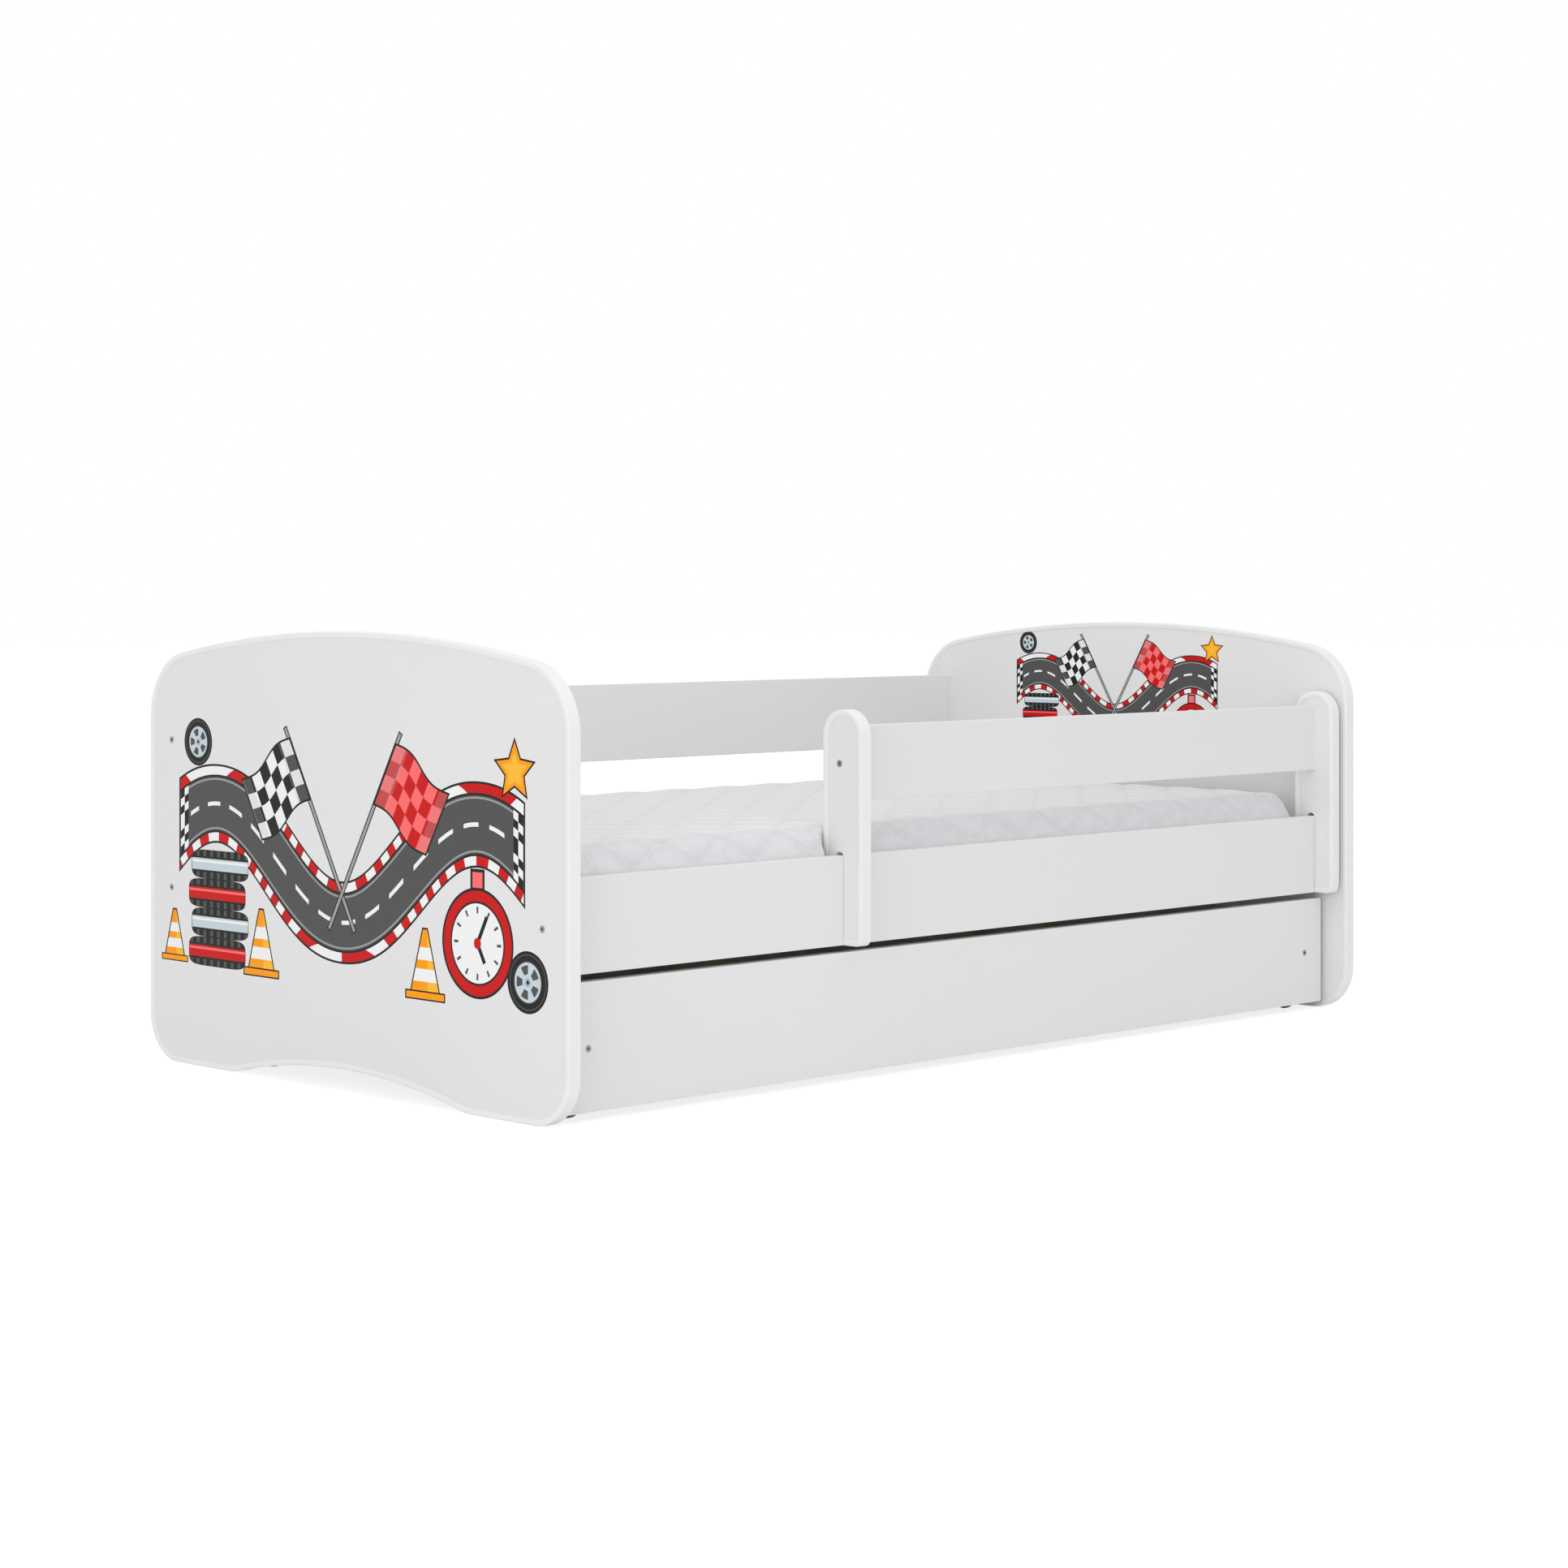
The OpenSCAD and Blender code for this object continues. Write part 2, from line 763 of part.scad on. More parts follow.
module guard_right_post() {
    color("white")
        translate([guard_right_x, 0, 0])
            mirror([1, 0, 0])
                guard_post();
}

module guard_left_edging() {
    color("whitesmoke")
        upright(guard_left_x)
            edging(post_outline);
}

module guard_right_edging() {
    color("whitesmoke")
        upright(guard_right_x)
            edging(post_outline);
}

module guard_board() {
    color("white")
        difference() {
            long_panel(guard_left_x + board_t / 2, guard_right_x - board_t / 2, -rail_y, guard_z,
                       rail_t, guard_h);
            at_posts()
                guard_screw_at(fit);
            at_posts()
                guard_dowels_at(fit);
        }
}

module guard_screws() {
    color("rosybrown")
        at_posts()
            guard_screw_at();
}

module guard_dowels() {
    color("burlywood")
        at_posts()
            guard_dowels_at();
}

// The screw and the two dowels between the drawer front and its right side
module drawer_front_screw(grow = 0) {
    translate([drawer_side_x, rail_front_y, drawer_mid_z])
        rotate([-90, 0, 0])
            screw(rail_t, grow);
}

module drawer_dowel_pair(x, grow = 0) {
    for (s = [-1, 1]) {
        translate([x, drawer_front_back_y, drawer_mid_z + s * dowel_offset])
            rotate([-90, 0, 0])
                dowel(grow);
    }
}

// The screws that hold the back to the right side, and those that hold it to the divider
module back_screw_pair(grow = 0) {
    for (s = [-1, 1]) {
        translate([drawer_side_x + rail_t / 2, drawer_back_y - rail_t / 2, drawer_mid_z + s * dowel_offset])
            rotate([0, -90, 0])
                screw(rail_t, grow);
    }
}

module divider_screw_pair(grow = 0) {
    for (s = [-1, 1]) {
        translate([0, drawer_back_y, drawer_mid_z + s * dowel_offset])
            rotate([90, 0, 0])
                screw(rail_t, grow);
    }
}

module drawer_fixings() {
    drawer_dowel_pair(0, fit);
    divider_screw_pair(fit);
    both_ends() {
        drawer_front_screw(fit);
        drawer_dowel_pair(drawer_side_x, fit);
        back_screw_pair(fit);
        castor_screw_set(fit);
    }
}

// The bottom's outline over the whole drawer, grown to cut the grooves
module bottom_block(from_x, to_x, grow = 0) {
    reach = groove_depth - fit + grow;
    translate([from_x - reach, drawer_front_back_y - reach, bottom_z - grow])
        cube([to_x - from_x + 2 * reach, drawer_back_y - rail_t - drawer_front_back_y + 2 * reach,
              bottom_t + 2 * grow]);
}

module bottom_pair(grow = 0) {
    bottom_block(-drawer_inner_x, -rail_t / 2, grow);
    bottom_block(rail_t / 2, drawer_inner_x, grow);
}

module drawer_front() {
    color("white")
        difference() {
            translate([-drawer_front_l / 2, drawer_front_back_y, drawer_floor_gap])
                rotate([90, 0, 0])
                    linear_extrude(rail_t)
                        rounded_rect(drawer_front_l, drawer_front_h, drawer_corner_r);
            drawer_fixings();
            bottom_pair(fit);
        }
}

module drawer_side() {
    difference() {
        translate([drawer_inner_x, drawer_front_back_y, castor_h])
            cube([rail_t, drawer_back_y - drawer_front_back_y, drawer_side_h]);
        drawer_fixings();
        bottom_pair(fit);
    }
}

module drawer_left_side() {
    color("white")
        mirror([1, 0, 0])
            drawer_side();
}

module drawer_right_side() {
    color("white")
        drawer_side();
}

module drawer_back() {
    color("white")
        difference() {
            translate([-drawer_inner_x, drawer_back_y - rail_t, castor_h])
                cube([2 * drawer_inner_x, rail_t, drawer_side_h]);
            drawer_fixings();
            bottom_pair(fit);
        }
}

module drawer_divider() {
    color("white")
        difference() {
            translate([-rail_t / 2, drawer_front_back_y, castor_h])
                cube([rail_t, drawer_back_y - rail_t - drawer_front_back_y, drawer_side_h]);
            drawer_fixings();
            bottom_pair(fit);
        }
}

module drawer_left_bottom() {
    color("wheat")
        bottom_block(-drawer_inner_x, -rail_t / 2);
}

module drawer_right_bottom() {
    color("wheat")
        bottom_block(rail_t / 2, drawer_inner_x);
}

module drawer_front_screws() {
    color("rosybrown")
        both_ends()
            drawer_front_screw();
}

module drawer_back_screws() {
    color("rosybrown") {
        divider_screw_pair();
        both_ends()
            back_screw_pair();
    }
}

module drawer_dowels() {
    color("burlywood") {
        drawer_dowel_pair(0);
        both_ends()
            drawer_dowel_pair(drawer_side_x);
    }
}

// The screws of the right-hand castors, driven up into the side's lower edge
module castor_screw_set(grow = 0) {
    for (y = castor_y) {
        for (s = [-1, 1]) {
            translate([drawer_side_x, y + s * castor_screw_y, castor_h - castor_plate_t])
                wood_screw(castor_screw_l, grow);
        }
    }
}

module castor_bracket() {
    ear_x = rail_t / 2 - ear_t;
    difference() {
        union() {
            translate([-rail_t / 2, -castor_plate_l / 2, castor_h - castor_plate_t])
                cube([rail_t, castor_plate_l, castor_plate_t]);
            for (x = [-rail_t / 2, ear_x]) {
                upright(x)
                    linear_extrude(ear_t) {
                        translate([0, wheel_z])
                            circle(ear_r);
                        translate([-ear_r, wheel_z])
                            square([2 * ear_r, castor_h - wheel_z - castor_plate_t / 2]);
                    }
            }
        }
        upright(-rail_t / 2 - past)
            linear_extrude(rail_t + 2 * past)
                translate([0, wheel_z])
                    circle(axle_d / 2 + fit / 2);
    }
}

module at_castors() {
    for (x = [-drawer_side_x, drawer_side_x]) {
        for (y = castor_y) {
            translate([x, y, 0])
                children();
        }
    }
}

module castor_brackets() {
    color("gainsboro")
        difference() {
            at_castors()
                castor_bracket();
            both_ends()
                castor_screw_set(fit);
        }
}

module castor_screws() {
    color("silver")
        both_ends()
            castor_screw_set();
}

module castor_axles() {
    rivet_d = axle_d + 2 * rivet_rim;
    color("silver")
        at_castors()
            upright(-rail_t / 2 - rivet_t)
                translate([0, wheel_z, 0]) {
                    cylinder(h = rail_t + 2 * rivet_t, d = axle_d);
                    cylinder(h = rivet_t, d = rivet_d);
                    translate([0, 0, rail_t + rivet_t])
                        cylinder(h = rivet_t, d = rivet_d);
                }
}

// Castor wheel: tread, thin web and hub, revolved round the axle
module wheel(x, y) {
    rim_t = 4;
    tread_r = 1.5;
    web_t = 3;
    hub_l = rail_t - 2 * ear_t - 2 * hub_gap;
    bore_r = axle_d / 2 + running_fit;
    color("dimgray")
        translate([x, y, wheel_z])
            rotate([0, 90, 0])
                rotate_extrude() {
                    translate([wheel_d / 2 - rim_t - tread_r, -wheel_w / 2])
                        rounded_rect(rim_t + tread_r, wheel_w, tread_r);
                    translate([bore_r, -web_t / 2])
                        square([wheel_d / 2 - rim_t - bore_r, web_t]);
                    translate([bore_r, -hub_l / 2])
                        square([hub_d / 2 - bore_r, hub_l]);
                }
}

module front_left_wheel() {
    wheel(-drawer_side_x, castor_y[0]);
}

module front_right_wheel() {
    wheel(drawer_side_x, castor_y[0]);
}

module rear_left_wheel() {
    wheel(-drawer_side_x, castor_y[1]);
}

module rear_right_wheel() {
    wheel(drawer_side_x, castor_y[1]);
}

footboard();
footboard_edging();
headboard();
headboard_edging();
front_rail();
rear_lower_rail();
rear_upper_rail();
front_slat_batten();
rear_slat_batten();
batten_screws();
slats();
slat_tapes();
slat_screws();
rail_screws();
rail_dowels();
mattress_cover();
mattress_core();
guard_board();
guard_left_post();
guard_left_edging();
guard_right_post();
guard_right_edging();
guard_screws();
guard_dowels();
drawer_front();
drawer_left_side();
drawer_right_side();
drawer_back();
drawer_divider();
drawer_left_bottom();
drawer_right_bottom();
drawer_front_screws();
drawer_back_screws();
drawer_dowels();
castor_brackets();
castor_screws();
castor_axles();
front_left_wheel();
front_right_wheel();
rear_left_wheel();
rear_right_wheel();
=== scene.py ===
from math import acos, asin, ceil, cos, degrees, hypot, pi, radians, sin

import bpy
import numpy as np
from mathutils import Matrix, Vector


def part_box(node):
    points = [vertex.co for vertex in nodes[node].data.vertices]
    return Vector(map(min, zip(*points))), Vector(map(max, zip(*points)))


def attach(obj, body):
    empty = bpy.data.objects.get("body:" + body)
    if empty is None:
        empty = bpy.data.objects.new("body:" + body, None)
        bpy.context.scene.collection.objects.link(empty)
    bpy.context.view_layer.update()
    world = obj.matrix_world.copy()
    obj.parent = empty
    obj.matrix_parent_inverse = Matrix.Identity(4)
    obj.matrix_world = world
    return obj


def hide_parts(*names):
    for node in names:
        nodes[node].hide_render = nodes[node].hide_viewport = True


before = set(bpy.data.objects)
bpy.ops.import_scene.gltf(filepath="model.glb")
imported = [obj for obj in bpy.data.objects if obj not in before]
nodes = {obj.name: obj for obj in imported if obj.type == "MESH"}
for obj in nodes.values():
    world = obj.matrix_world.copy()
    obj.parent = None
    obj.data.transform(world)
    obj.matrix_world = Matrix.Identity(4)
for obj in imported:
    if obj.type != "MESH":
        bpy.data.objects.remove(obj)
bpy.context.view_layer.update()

# ---- Shaders ----


def srgb(red, green, blue):
    """A colour as a picture editor writes it, in the light values that a shader takes."""
    parts = [c / 255 for c in (red, green, blue)]
    return tuple(c / 12.92 if c < 0.04045 else ((c + 0.055) / 1.055) ** 2.4 for c in parts) + (1.0,)


class Value:
    """A number or colour that varies over a surface. Python's operators act on it as Math nodes."""

    def __init__(self, finish, socket):
        self.finish = finish
        self.socket = socket

    def math(self, operation, *inputs):
        return self.finish.node("Math", inputs, operation=operation)

    def __add__(self, other):
        return self.math("ADD", self, other)

    def __radd__(self, other):
        return self.math("ADD", other, self)

    def __sub__(self, other):
        return self.math("SUBTRACT", self, other)

    def __rsub__(self, other):
        return self.math("SUBTRACT", other, self)

    def __mul__(self, other):
        return self.math("MULTIPLY", self, other)

    def __rmul__(self, other):
        return self.math("MULTIPLY", other, self)

    def __truediv__(self, other):
        return self.math("DIVIDE", self, other)

    def __rtruediv__(self, other):
        return self.math("DIVIDE", other, self)

    def __mod__(self, other):
        return self.math("FLOORED_MODULO", self, other)

    def __pow__(self, other):
        return self.math("POWER", self, other)

    def __abs__(self):
        return self.math("ABSOLUTE", self)

    def __lt__(self, other):
        return self.math("LESS_THAN", self, other)

    def __gt__(self, other):
        return self.math("GREATER_THAN", self, other)

    def __and__(self, other):
        return self.math("MINIMUM", self, other)

    def __or__(self, other):
        return self.math("MAXIMUM", self, other)

    def sine(self):
        return self.math("SINE", self)

    def floor(self):
        return self.math("FLOOR", self)

    def ramp(self, low, high):
        """0 below low, 1 above high and a soft step between."""
        return self.finish.node("MapRange", {"Value": self, "From Min": low, "From Max": high},
                                interpolation_type="SMOOTHSTEP")


class Finish:
    """A material and the nodes that feed its Principled shader."""

    def __init__(self, name, **constants):
        self.material = bpy.data.materials.new(name)
        self.material.use_nodes = True
        self.tree = self.material.node_tree
        self.shader = self.tree.nodes["Principled BSDF"]
        for socket, value in constants.items():
            self.shader.inputs[socket.replace("_", " ")].default_value = value

    def node(self, kind, inputs=(), output=0, **settings):
        """Adds a node: its settings first, then its inputs, which are values or links, by place or name."""
        made = self.tree.nodes.new("ShaderNode" + kind)
        for setting, value in settings.items():
            setattr(made, setting, value)
        for key, value in inputs.items() if isinstance(inputs, dict) else enumerate(inputs):
            if isinstance(value, Value):
                self.tree.links.new(value.socket, made.inputs[key])
            else:
                made.inputs[key].default_value = value
        return Value(self, made.outputs[output])

    def mix(self, factor, first, second):
        return self.node("Mix", {0: factor, 6: first, 7: second}, output=2, data_type="RGBA")

    def parts(self, vector):
        return [self.node("SeparateXYZ", [vector], output=k) for k in range(3)]

    def place(self):
        """The surface's place in the bed's own frame, as a vector and as its three parts."""
        point = self.node("TexCoord", output="Object")
        return point, self.parts(point)

    def stretched(self, point, x, y, z):
        return self.node("VectorMath", [point, (x, y, z)], operation="MULTIPLY")

    def noise(self, point, scale, detail=3.0, roughness=0.5):
        return self.node("TexNoise", {"Vector": point, "Scale": scale, "Detail": detail,
                                      "Roughness": roughness})

    def feed(self, socket, value):
        self.tree.links.new(value.socket, self.shader.inputs[socket])

    def bump(self, height, distance):
        self.feed("Normal", self.node("Bump", {"Height": height, "Distance": distance, "Strength": 1.0}))


# ---- The printed race track, a generic design ----

BLACK = srgb(20, 19, 17)
RED = srgb(204, 0, 0)
LIGHT_RED = srgb(255, 112, 112)
DARK_GREY = srgb(80, 80, 80)
GREY = srgb(160, 160, 160)
ICE = srgb(200, 215, 222)
STEEL_BLUE = srgb(170, 187, 195)
ORANGE = srgb(255, 160, 0)
AMBER = srgb(255, 190, 50)
WHITE = srgb(245, 245, 245)


class Print:
    """A picture built up from flat shapes on a board's face. Places are in millimetres on the picture:
    s to the right and t up, from the middle of the picture. Each motif is laid on from its black outline
    inwards."""

    def __init__(self, finish, ground, middle, scale):
        _, (_, y, z) = finish.place()
        self.finish = finish
        self.colour = ground
        self.s = (y + middle[0] / 1000) * (-1000 / scale)
        self.t = (z - middle[1] / 1000) * (1000 / scale)

    def paint(self, mask, colour):
        self.colour = self.finish.mix(mask, self.colour, colour)

    def turned(self, s, t, angle):
        """Coordinates about a place, turned anticlockwise by an angle in degrees."""
        c, n = cos(radians(angle)), sin(radians(angle))
        across, up = self.s - s, self.t - t
        return across * c + up * n, up * c - across * n

    def around(self, s, t, count):
        """How far a point lies from a place, and its turn about it, counted in equal parts of a circle."""
        across, up = self.s - s, self.t - t
        return (across * across + up * up) ** 0.5, up.math("ARCTAN2", up, across) / (2 * pi) * count

    def chequers(self, along, up, first, second):
        """A chequered pattern of squares with sides of 1."""
        return self.finish.mix((along.floor() + up.floor()) % 2.0 > 0.5, first, second)

    def road(self):
        """A winding road across the picture, with kerbs, a dashed line and a chequered line at each end."""
        swing, bend, drop = 74.0, 92.0, 14.0
        turn = self.s / bend - pi / 2
        slope = (turn + pi / 2).sine() * (swing / bend)
        off = abs(self.t - turn.sine() * swing + drop) / (slope * slope + 1.0) ** 0.5
        span = abs(self.s)
        half, start, square = 380.0, 360.0, 9.5
        kerb, tarmac, line = 53.0, 38.0, 3.0
        red_kerb = ((self.s + self.t * slope) % 44.0) < 22.0
        self.paint((span < half + line) & (off < kerb + line), BLACK)
        self.paint((span < half) & (off < kerb), self.finish.mix(red_kerb, RED, WHITE))
        self.paint((span < half) & (off < tarmac + line), BLACK)
        self.paint((span < half) & (off < tarmac), DARK_GREY)
        self.paint((span < start) & (off < 36.0) & (off > 33.5), GREY)
        self.paint((span < start - 6.0) & (off < 2.8) & ((self.s % 52.0) < 30.0), WHITE)
        start_line = self.chequers((span - start) / square, off / square, BLACK, WHITE)
        self.paint((span > start) & (span < start + 2 * square) & (off < tarmac), start_line)

    def flag(self, s, t, angle, side, first, second):
        """A flag on a staff that leans by an angle, its cloth to one side, waving."""
        across, up = self.turned(s, t, angle)
        self.paint((abs(across) < 4.5) & (abs(up) < 158), BLACK)
        self.paint((abs(across) < 2.5) & (abs(up) < 156), GREY)
        length, half, middle, line = 124.0, 46.0, 92.0, 3.0
        square, ripple = 20.6, 19.0
        along = across * side
        height = up - (along / ripple).sine() * 6.0 - middle
        self.paint((along > -line) & (along < length + line) & (abs(height) < half + line), BLACK)
        cloth = self.chequers(along / square, (height + half) / (half / 2), first, second)
        fold = self.finish.mix((along / ripple + 1.2).sine() > 0.55, cloth, GREY)
        shown = self.finish.mix(0.8, fold, cloth)
        self.paint((along > 0.0) & (along < length) & (abs(height) < half), shown)

    def tyre_stack(self, s, t, width, count):
        """Tyres piled on each other and seen from the side."""
        height = width * 0.3
        for k in range(count):
            across, up = abs(self.s - s - (k % 2) * width * 0.05), self.t - t - k * height
            side = (across / (width / 2)) ** 6.0 + (abs(up) / (height / 2)) ** 4.0
            tread = ((self.s - s) % (width * 0.12)) < width * 0.05
            self.paint(side < 1.0, BLACK)
            self.paint((side < 0.82) & tread & (abs(up) > height * 0.27), DARK_GREY)
            self.paint((side < 0.9) & (abs(up) < height * 0.2), (RED, ICE)[k % 2])
            self.paint((side < 0.9) & (abs(up - height * 0.1) < height * 0.04), (LIGHT_RED, WHITE)[k % 2])

    def stopwatch(self, s, t, radius):
        """A round stopwatch with its button, ticks and two hands."""
        across, up = abs(self.s - s), abs(self.t - t - radius * 1.14)
        self.paint((across < radius * 0.2) & (up < radius * 0.2), BLACK)
        self.paint((across < radius * 0.14) & (up < radius * 0.14), LIGHT_RED)
        away, turn = self.around(s, t, 12.0)
        for size, colour in ((1.0, BLACK), (0.95, RED), (0.76, BLACK), (0.72, WHITE)):
            self.paint(away < radius * size, colour)
        tick = (abs(turn % 1.0 - 0.5) > 0.42) & (away < radius * 0.66) & (away > radius * 0.54)
        self.paint(tick, DARK_GREY)
        for angle, length in ((-28.0, 0.56), (-150.0, 0.4)):
            side, along = self.turned(s, t, angle)
            hand = (abs(side) < radius * 0.045) & (along > radius * -0.1) & (along < radius * length)
            self.paint(hand, BLACK)
        self.paint(away < radius * 0.1, RED)

    def cone(self, s, t, height):
        """A traffic cone with two white bands, on its foot."""
        across, up = abs(self.s - s), self.t - t
        half = (height - up) * 0.3 + height * 0.05
        body = (up > 0.0) & (up < height) & (across < half)
        self.paint((across < half + 2.5) & (up > -2.0) & (up < height + 2.5), BLACK)
        self.paint(body, ORANGE)
        self.paint(body & (self.s > s + height * 0.06), AMBER)
        for band in (0.62, 0.28):
            self.paint(body & (abs(up - height * band) < height * 0.1), WHITE)
        foot = abs(up + height * 0.04)
        self.paint((across < height * 0.5) & (foot < height * 0.075), BLACK)
        self.paint((across < height * 0.47) & (foot < height * 0.05), ORANGE)

    def tyre(self, s, t, radius, spokes):
        """A tyre seen from the front, on its wheel."""
        away, turn = self.around(s, t, spokes)
        self.paint(away < radius, BLACK)
        self.paint((away > radius * 0.86) & (away < radius * 0.9), DARK_GREY)
        self.paint(away < radius * 0.68, DARK_GREY)
        self.paint(away < radius * 0.64, ICE)
        gap = (abs(turn % 1.0 - 0.5) < 0.27) & (away < radius * 0.55) & (away > radius * 0.26)
        self.paint(gap, DARK_GREY)
        self.paint(away < radius * 0.15, STEEL_BLUE)
        self.paint(away < radius * 0.07, BLACK)

    def star(self, s, t, radius):
        """A five-pointed star with a black outline."""
        away, turn = self.around(s, t, 5.0)
        point = abs((turn + 0.25) % 1.0 - 0.5) * (2 * pi / 5)
        along, side = (point + pi / 2).sine() * away, point.sine() * away
        inner = 0.48
        edge_side, edge_along = inner * sin(pi / 5), inner * cos(pi / 5) - 1
        for size, colour in ((1.0, BLACK), (0.86, ORANGE), (0.6, AMBER)):
            self.paint((along - radius * size) * edge_side - side * edge_along < 0.0, colour)

    def race_track(self):
        """A winding road, crossed flags, tyres, a stopwatch, cones and a star."""
        self.road()
        self.flag(-50.0, 37.0, 30.0, -1.0, BLACK, WHITE)
        self.flag(50.0, 37.0, -30.0, 1.0, RED, LIGHT_RED)
        self.tyre_stack(-290.0, -152.0, 138.0, 4)
        self.stopwatch(288.0, -94.0, 72.0)
        self.cone(-184.0, -168.0, 84.0)
        self.cone(-394.0, -164.0, 66.0)
        self.cone(180.0, -168.0, 84.0)
        self.tyre(388.0, -136.0, 40.0, 5)
        self.tyre(-336.0, 146.0, 34.0, 5)
        self.star(362.0, 132.0, 44.0)


# ---- Finishes ----

FACE_DEPTH = 0.0004


def laminate(name, picture=None):
    """White melamine board with a fine satin grain, and a printed picture on one face if it is given."""
    finish = Finish(name, Roughness=0.45, Specular_IOR_Level=0.2)
    point, (x, _, _) = finish.place()
    colour = finish.mix(finish.noise(point, 2.2, 2.0), srgb(229, 229, 229), srgb(232, 232, 232))
    if picture:
        face, middle, scale = picture
        drawn = Print(finish, colour, middle, scale)
        drawn.race_track()
        colour = finish.mix(abs(x - face) < FACE_DEPTH, colour, drawn.colour)
    finish.feed("Base Color", colour)
    finish.feed("Roughness", finish.noise(point, 40.0) * 0.08 + 0.38)
    finish.bump(finish.noise(point, 700.0, 2.0), 0.00004)
    return finish.material


def soft_edging():
    """White plastic edging, a little glossier than the boards."""
    finish = Finish("soft_white_edging", Roughness=0.4, Specular_IOR_Level=0.45)
    point, _ = finish.place()
    colour = finish.mix(finish.noise(point, 9.0), srgb(236, 236, 236), srgb(240, 240, 240))
    finish.feed("Base Color", colour)
    finish.feed("Roughness", finish.noise(point, 60.0) * 0.1 + 0.34)
    finish.bump(finish.noise(point, 240.0, 2.0), 0.00005)
    return finish.material


def pine(name, x, y, z):
    """Planed pine whose grain runs along the axis with the small factor."""
    finish = Finish(name, Roughness=0.6)
    point, _ = finish.place()
    drawn = finish.stretched(point, x, y, z)
    rings = (finish.noise(drawn, 1.0, 4.0, 0.6) * 46.0).sine() * 0.5 + 0.5
    pores = finish.noise(finish.stretched(point, 3 * x, 3 * y, 3 * z), 14.0, 3.0)
    wood = finish.mix(rings, srgb(226, 200, 158), srgb(205, 168, 118))
    finish.feed("Base Color", finish.mix(pores.ramp(0.5, 0.75), wood, srgb(190, 150, 104)))
    finish.feed("Roughness", rings * 0.12 + 0.5)
    finish.bump(rings * 0.4 + pores, 0.0003)
    return finish.material


def hardboard():
    """Thin fibreboard, white on its upper face and brown below and at its edges."""
    finish = Finish("white_faced_hardboard", Roughness=0.5)
    point, (_, _, z) = finish.place()
    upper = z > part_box("drawer_left_bottom")[1].z - FACE_DEPTH
    fibres = finish.noise(point, 420.0, 4.0)
    brown = finish.mix(fibres, srgb(132, 96, 64), srgb(168, 128, 90))
    finish.feed("Base Color", finish.mix(upper, brown, srgb(228, 227, 224)))
    finish.feed("Roughness", fibres * 0.2 + 0.4)
    finish.bump(fibres, 0.0001)
    return finish.material


def grained(name, dark, light, scale, detail, rough, distance, metallic=0.0):
    """Metal or plastic whose colour, roughness and bump follow one fine grain."""
    finish = Finish(name, Metallic=metallic)
    point, _ = finish.place()
    grain = finish.noise(point, scale, detail)
    finish.feed("Base Color", finish.mix(grain, dark, light))
    finish.feed("Roughness", grain * 0.2 + rough)
    finish.bump(grain, distance)
    return finish.material


def steel(name, dark, light, rough):
    return grained(name, dark, light, 900.0, 3.0, rough, 0.00002, metallic=1.0)


def moulded(name, dark, light):
    return grained(name, dark, light, 1200.0, 2.0, 0.4, 0.00004)


def woven(name, dark, light, pitch, distance):
    """Cloth with a plain weave of the given pitch, in metres."""
    finish = Finish(name, Roughness=0.9, Sheen_Weight=0.2)
    point, (x, y, z) = finish.place()
    turn = 2 * pi / pitch
    threads = ((x * turn).sine() * ((y + z) * turn).sine()) * 0.5 + 0.5
    fuzz = finish.noise(point, 260.0, 4.0)
    finish.feed("Base Color", finish.mix(threads * 0.5 + fuzz * 0.5, dark, light))
    finish.feed("Roughness", fuzz * 0.1 + 0.85)
    finish.bump(threads + fuzz, distance)
    return finish.material


def quilting():
    """Brushed white cover: felt-like cloth, stitched lines in white thread, and a bluish border, with shade
    painted grey along the stitches, wider and darker along one slant of them. The stitching attribute holds
    the distance from a stitch, the border and the stitch's slant."""
    finish = Finish("quilted_cover", Roughness=0.92, Sheen_Weight=0.25, Sheen_Roughness=0.5)
    point, _ = finish.place()
    stitching = finish.node("Attribute", output="Vector", attribute_name="stitching")
    across, border, slant = finish.parts(stitching)
    near = abs(across)
    thread = (1.0 - near.ramp(0.0005, 0.0014)) * (border * 0.14 + 0.08)
    # Painted shade: the cloth is greyed in a narrow band along every stitch, and in a wider band along the
    # stitches of one slant, less on the border
    painted_crease_shade = (1.0 - near.ramp(0.0008, 0.008)) * 0.14
    painted_slant_shade = (1.0 - near.ramp(0.001, 0.014)) * slant.ramp(0.5, 0.85) * (0.32 - border * 0.12)
    painted_stitch_shade = painted_crease_shade | painted_slant_shade
    fuzz = finish.noise(point, 55.0, 6.0, 0.62)
    fine = finish.noise(point, 900.0, 3.0)
    top = finish.mix(fuzz, srgb(226, 226, 227), srgb(233, 233, 233))
    side = finish.mix(fuzz.ramp(0.3, 0.7), srgb(216, 216, 220), srgb(223, 223, 226))
    # The painted shade's grey is mixed into the cloth here
    cloth = finish.mix(painted_stitch_shade, finish.mix(border, top, side), srgb(190, 190, 196))
    finish.feed("Base Color", finish.mix(thread, cloth, srgb(244, 244, 246)))
    finish.feed("Roughness", fine * 0.08 + 0.88)
    finish.bump(fine * 0.2 + fuzz * 0.25 - painted_stitch_shade * 2.0 + thread * 0.5, 0.0009)
    return finish.material


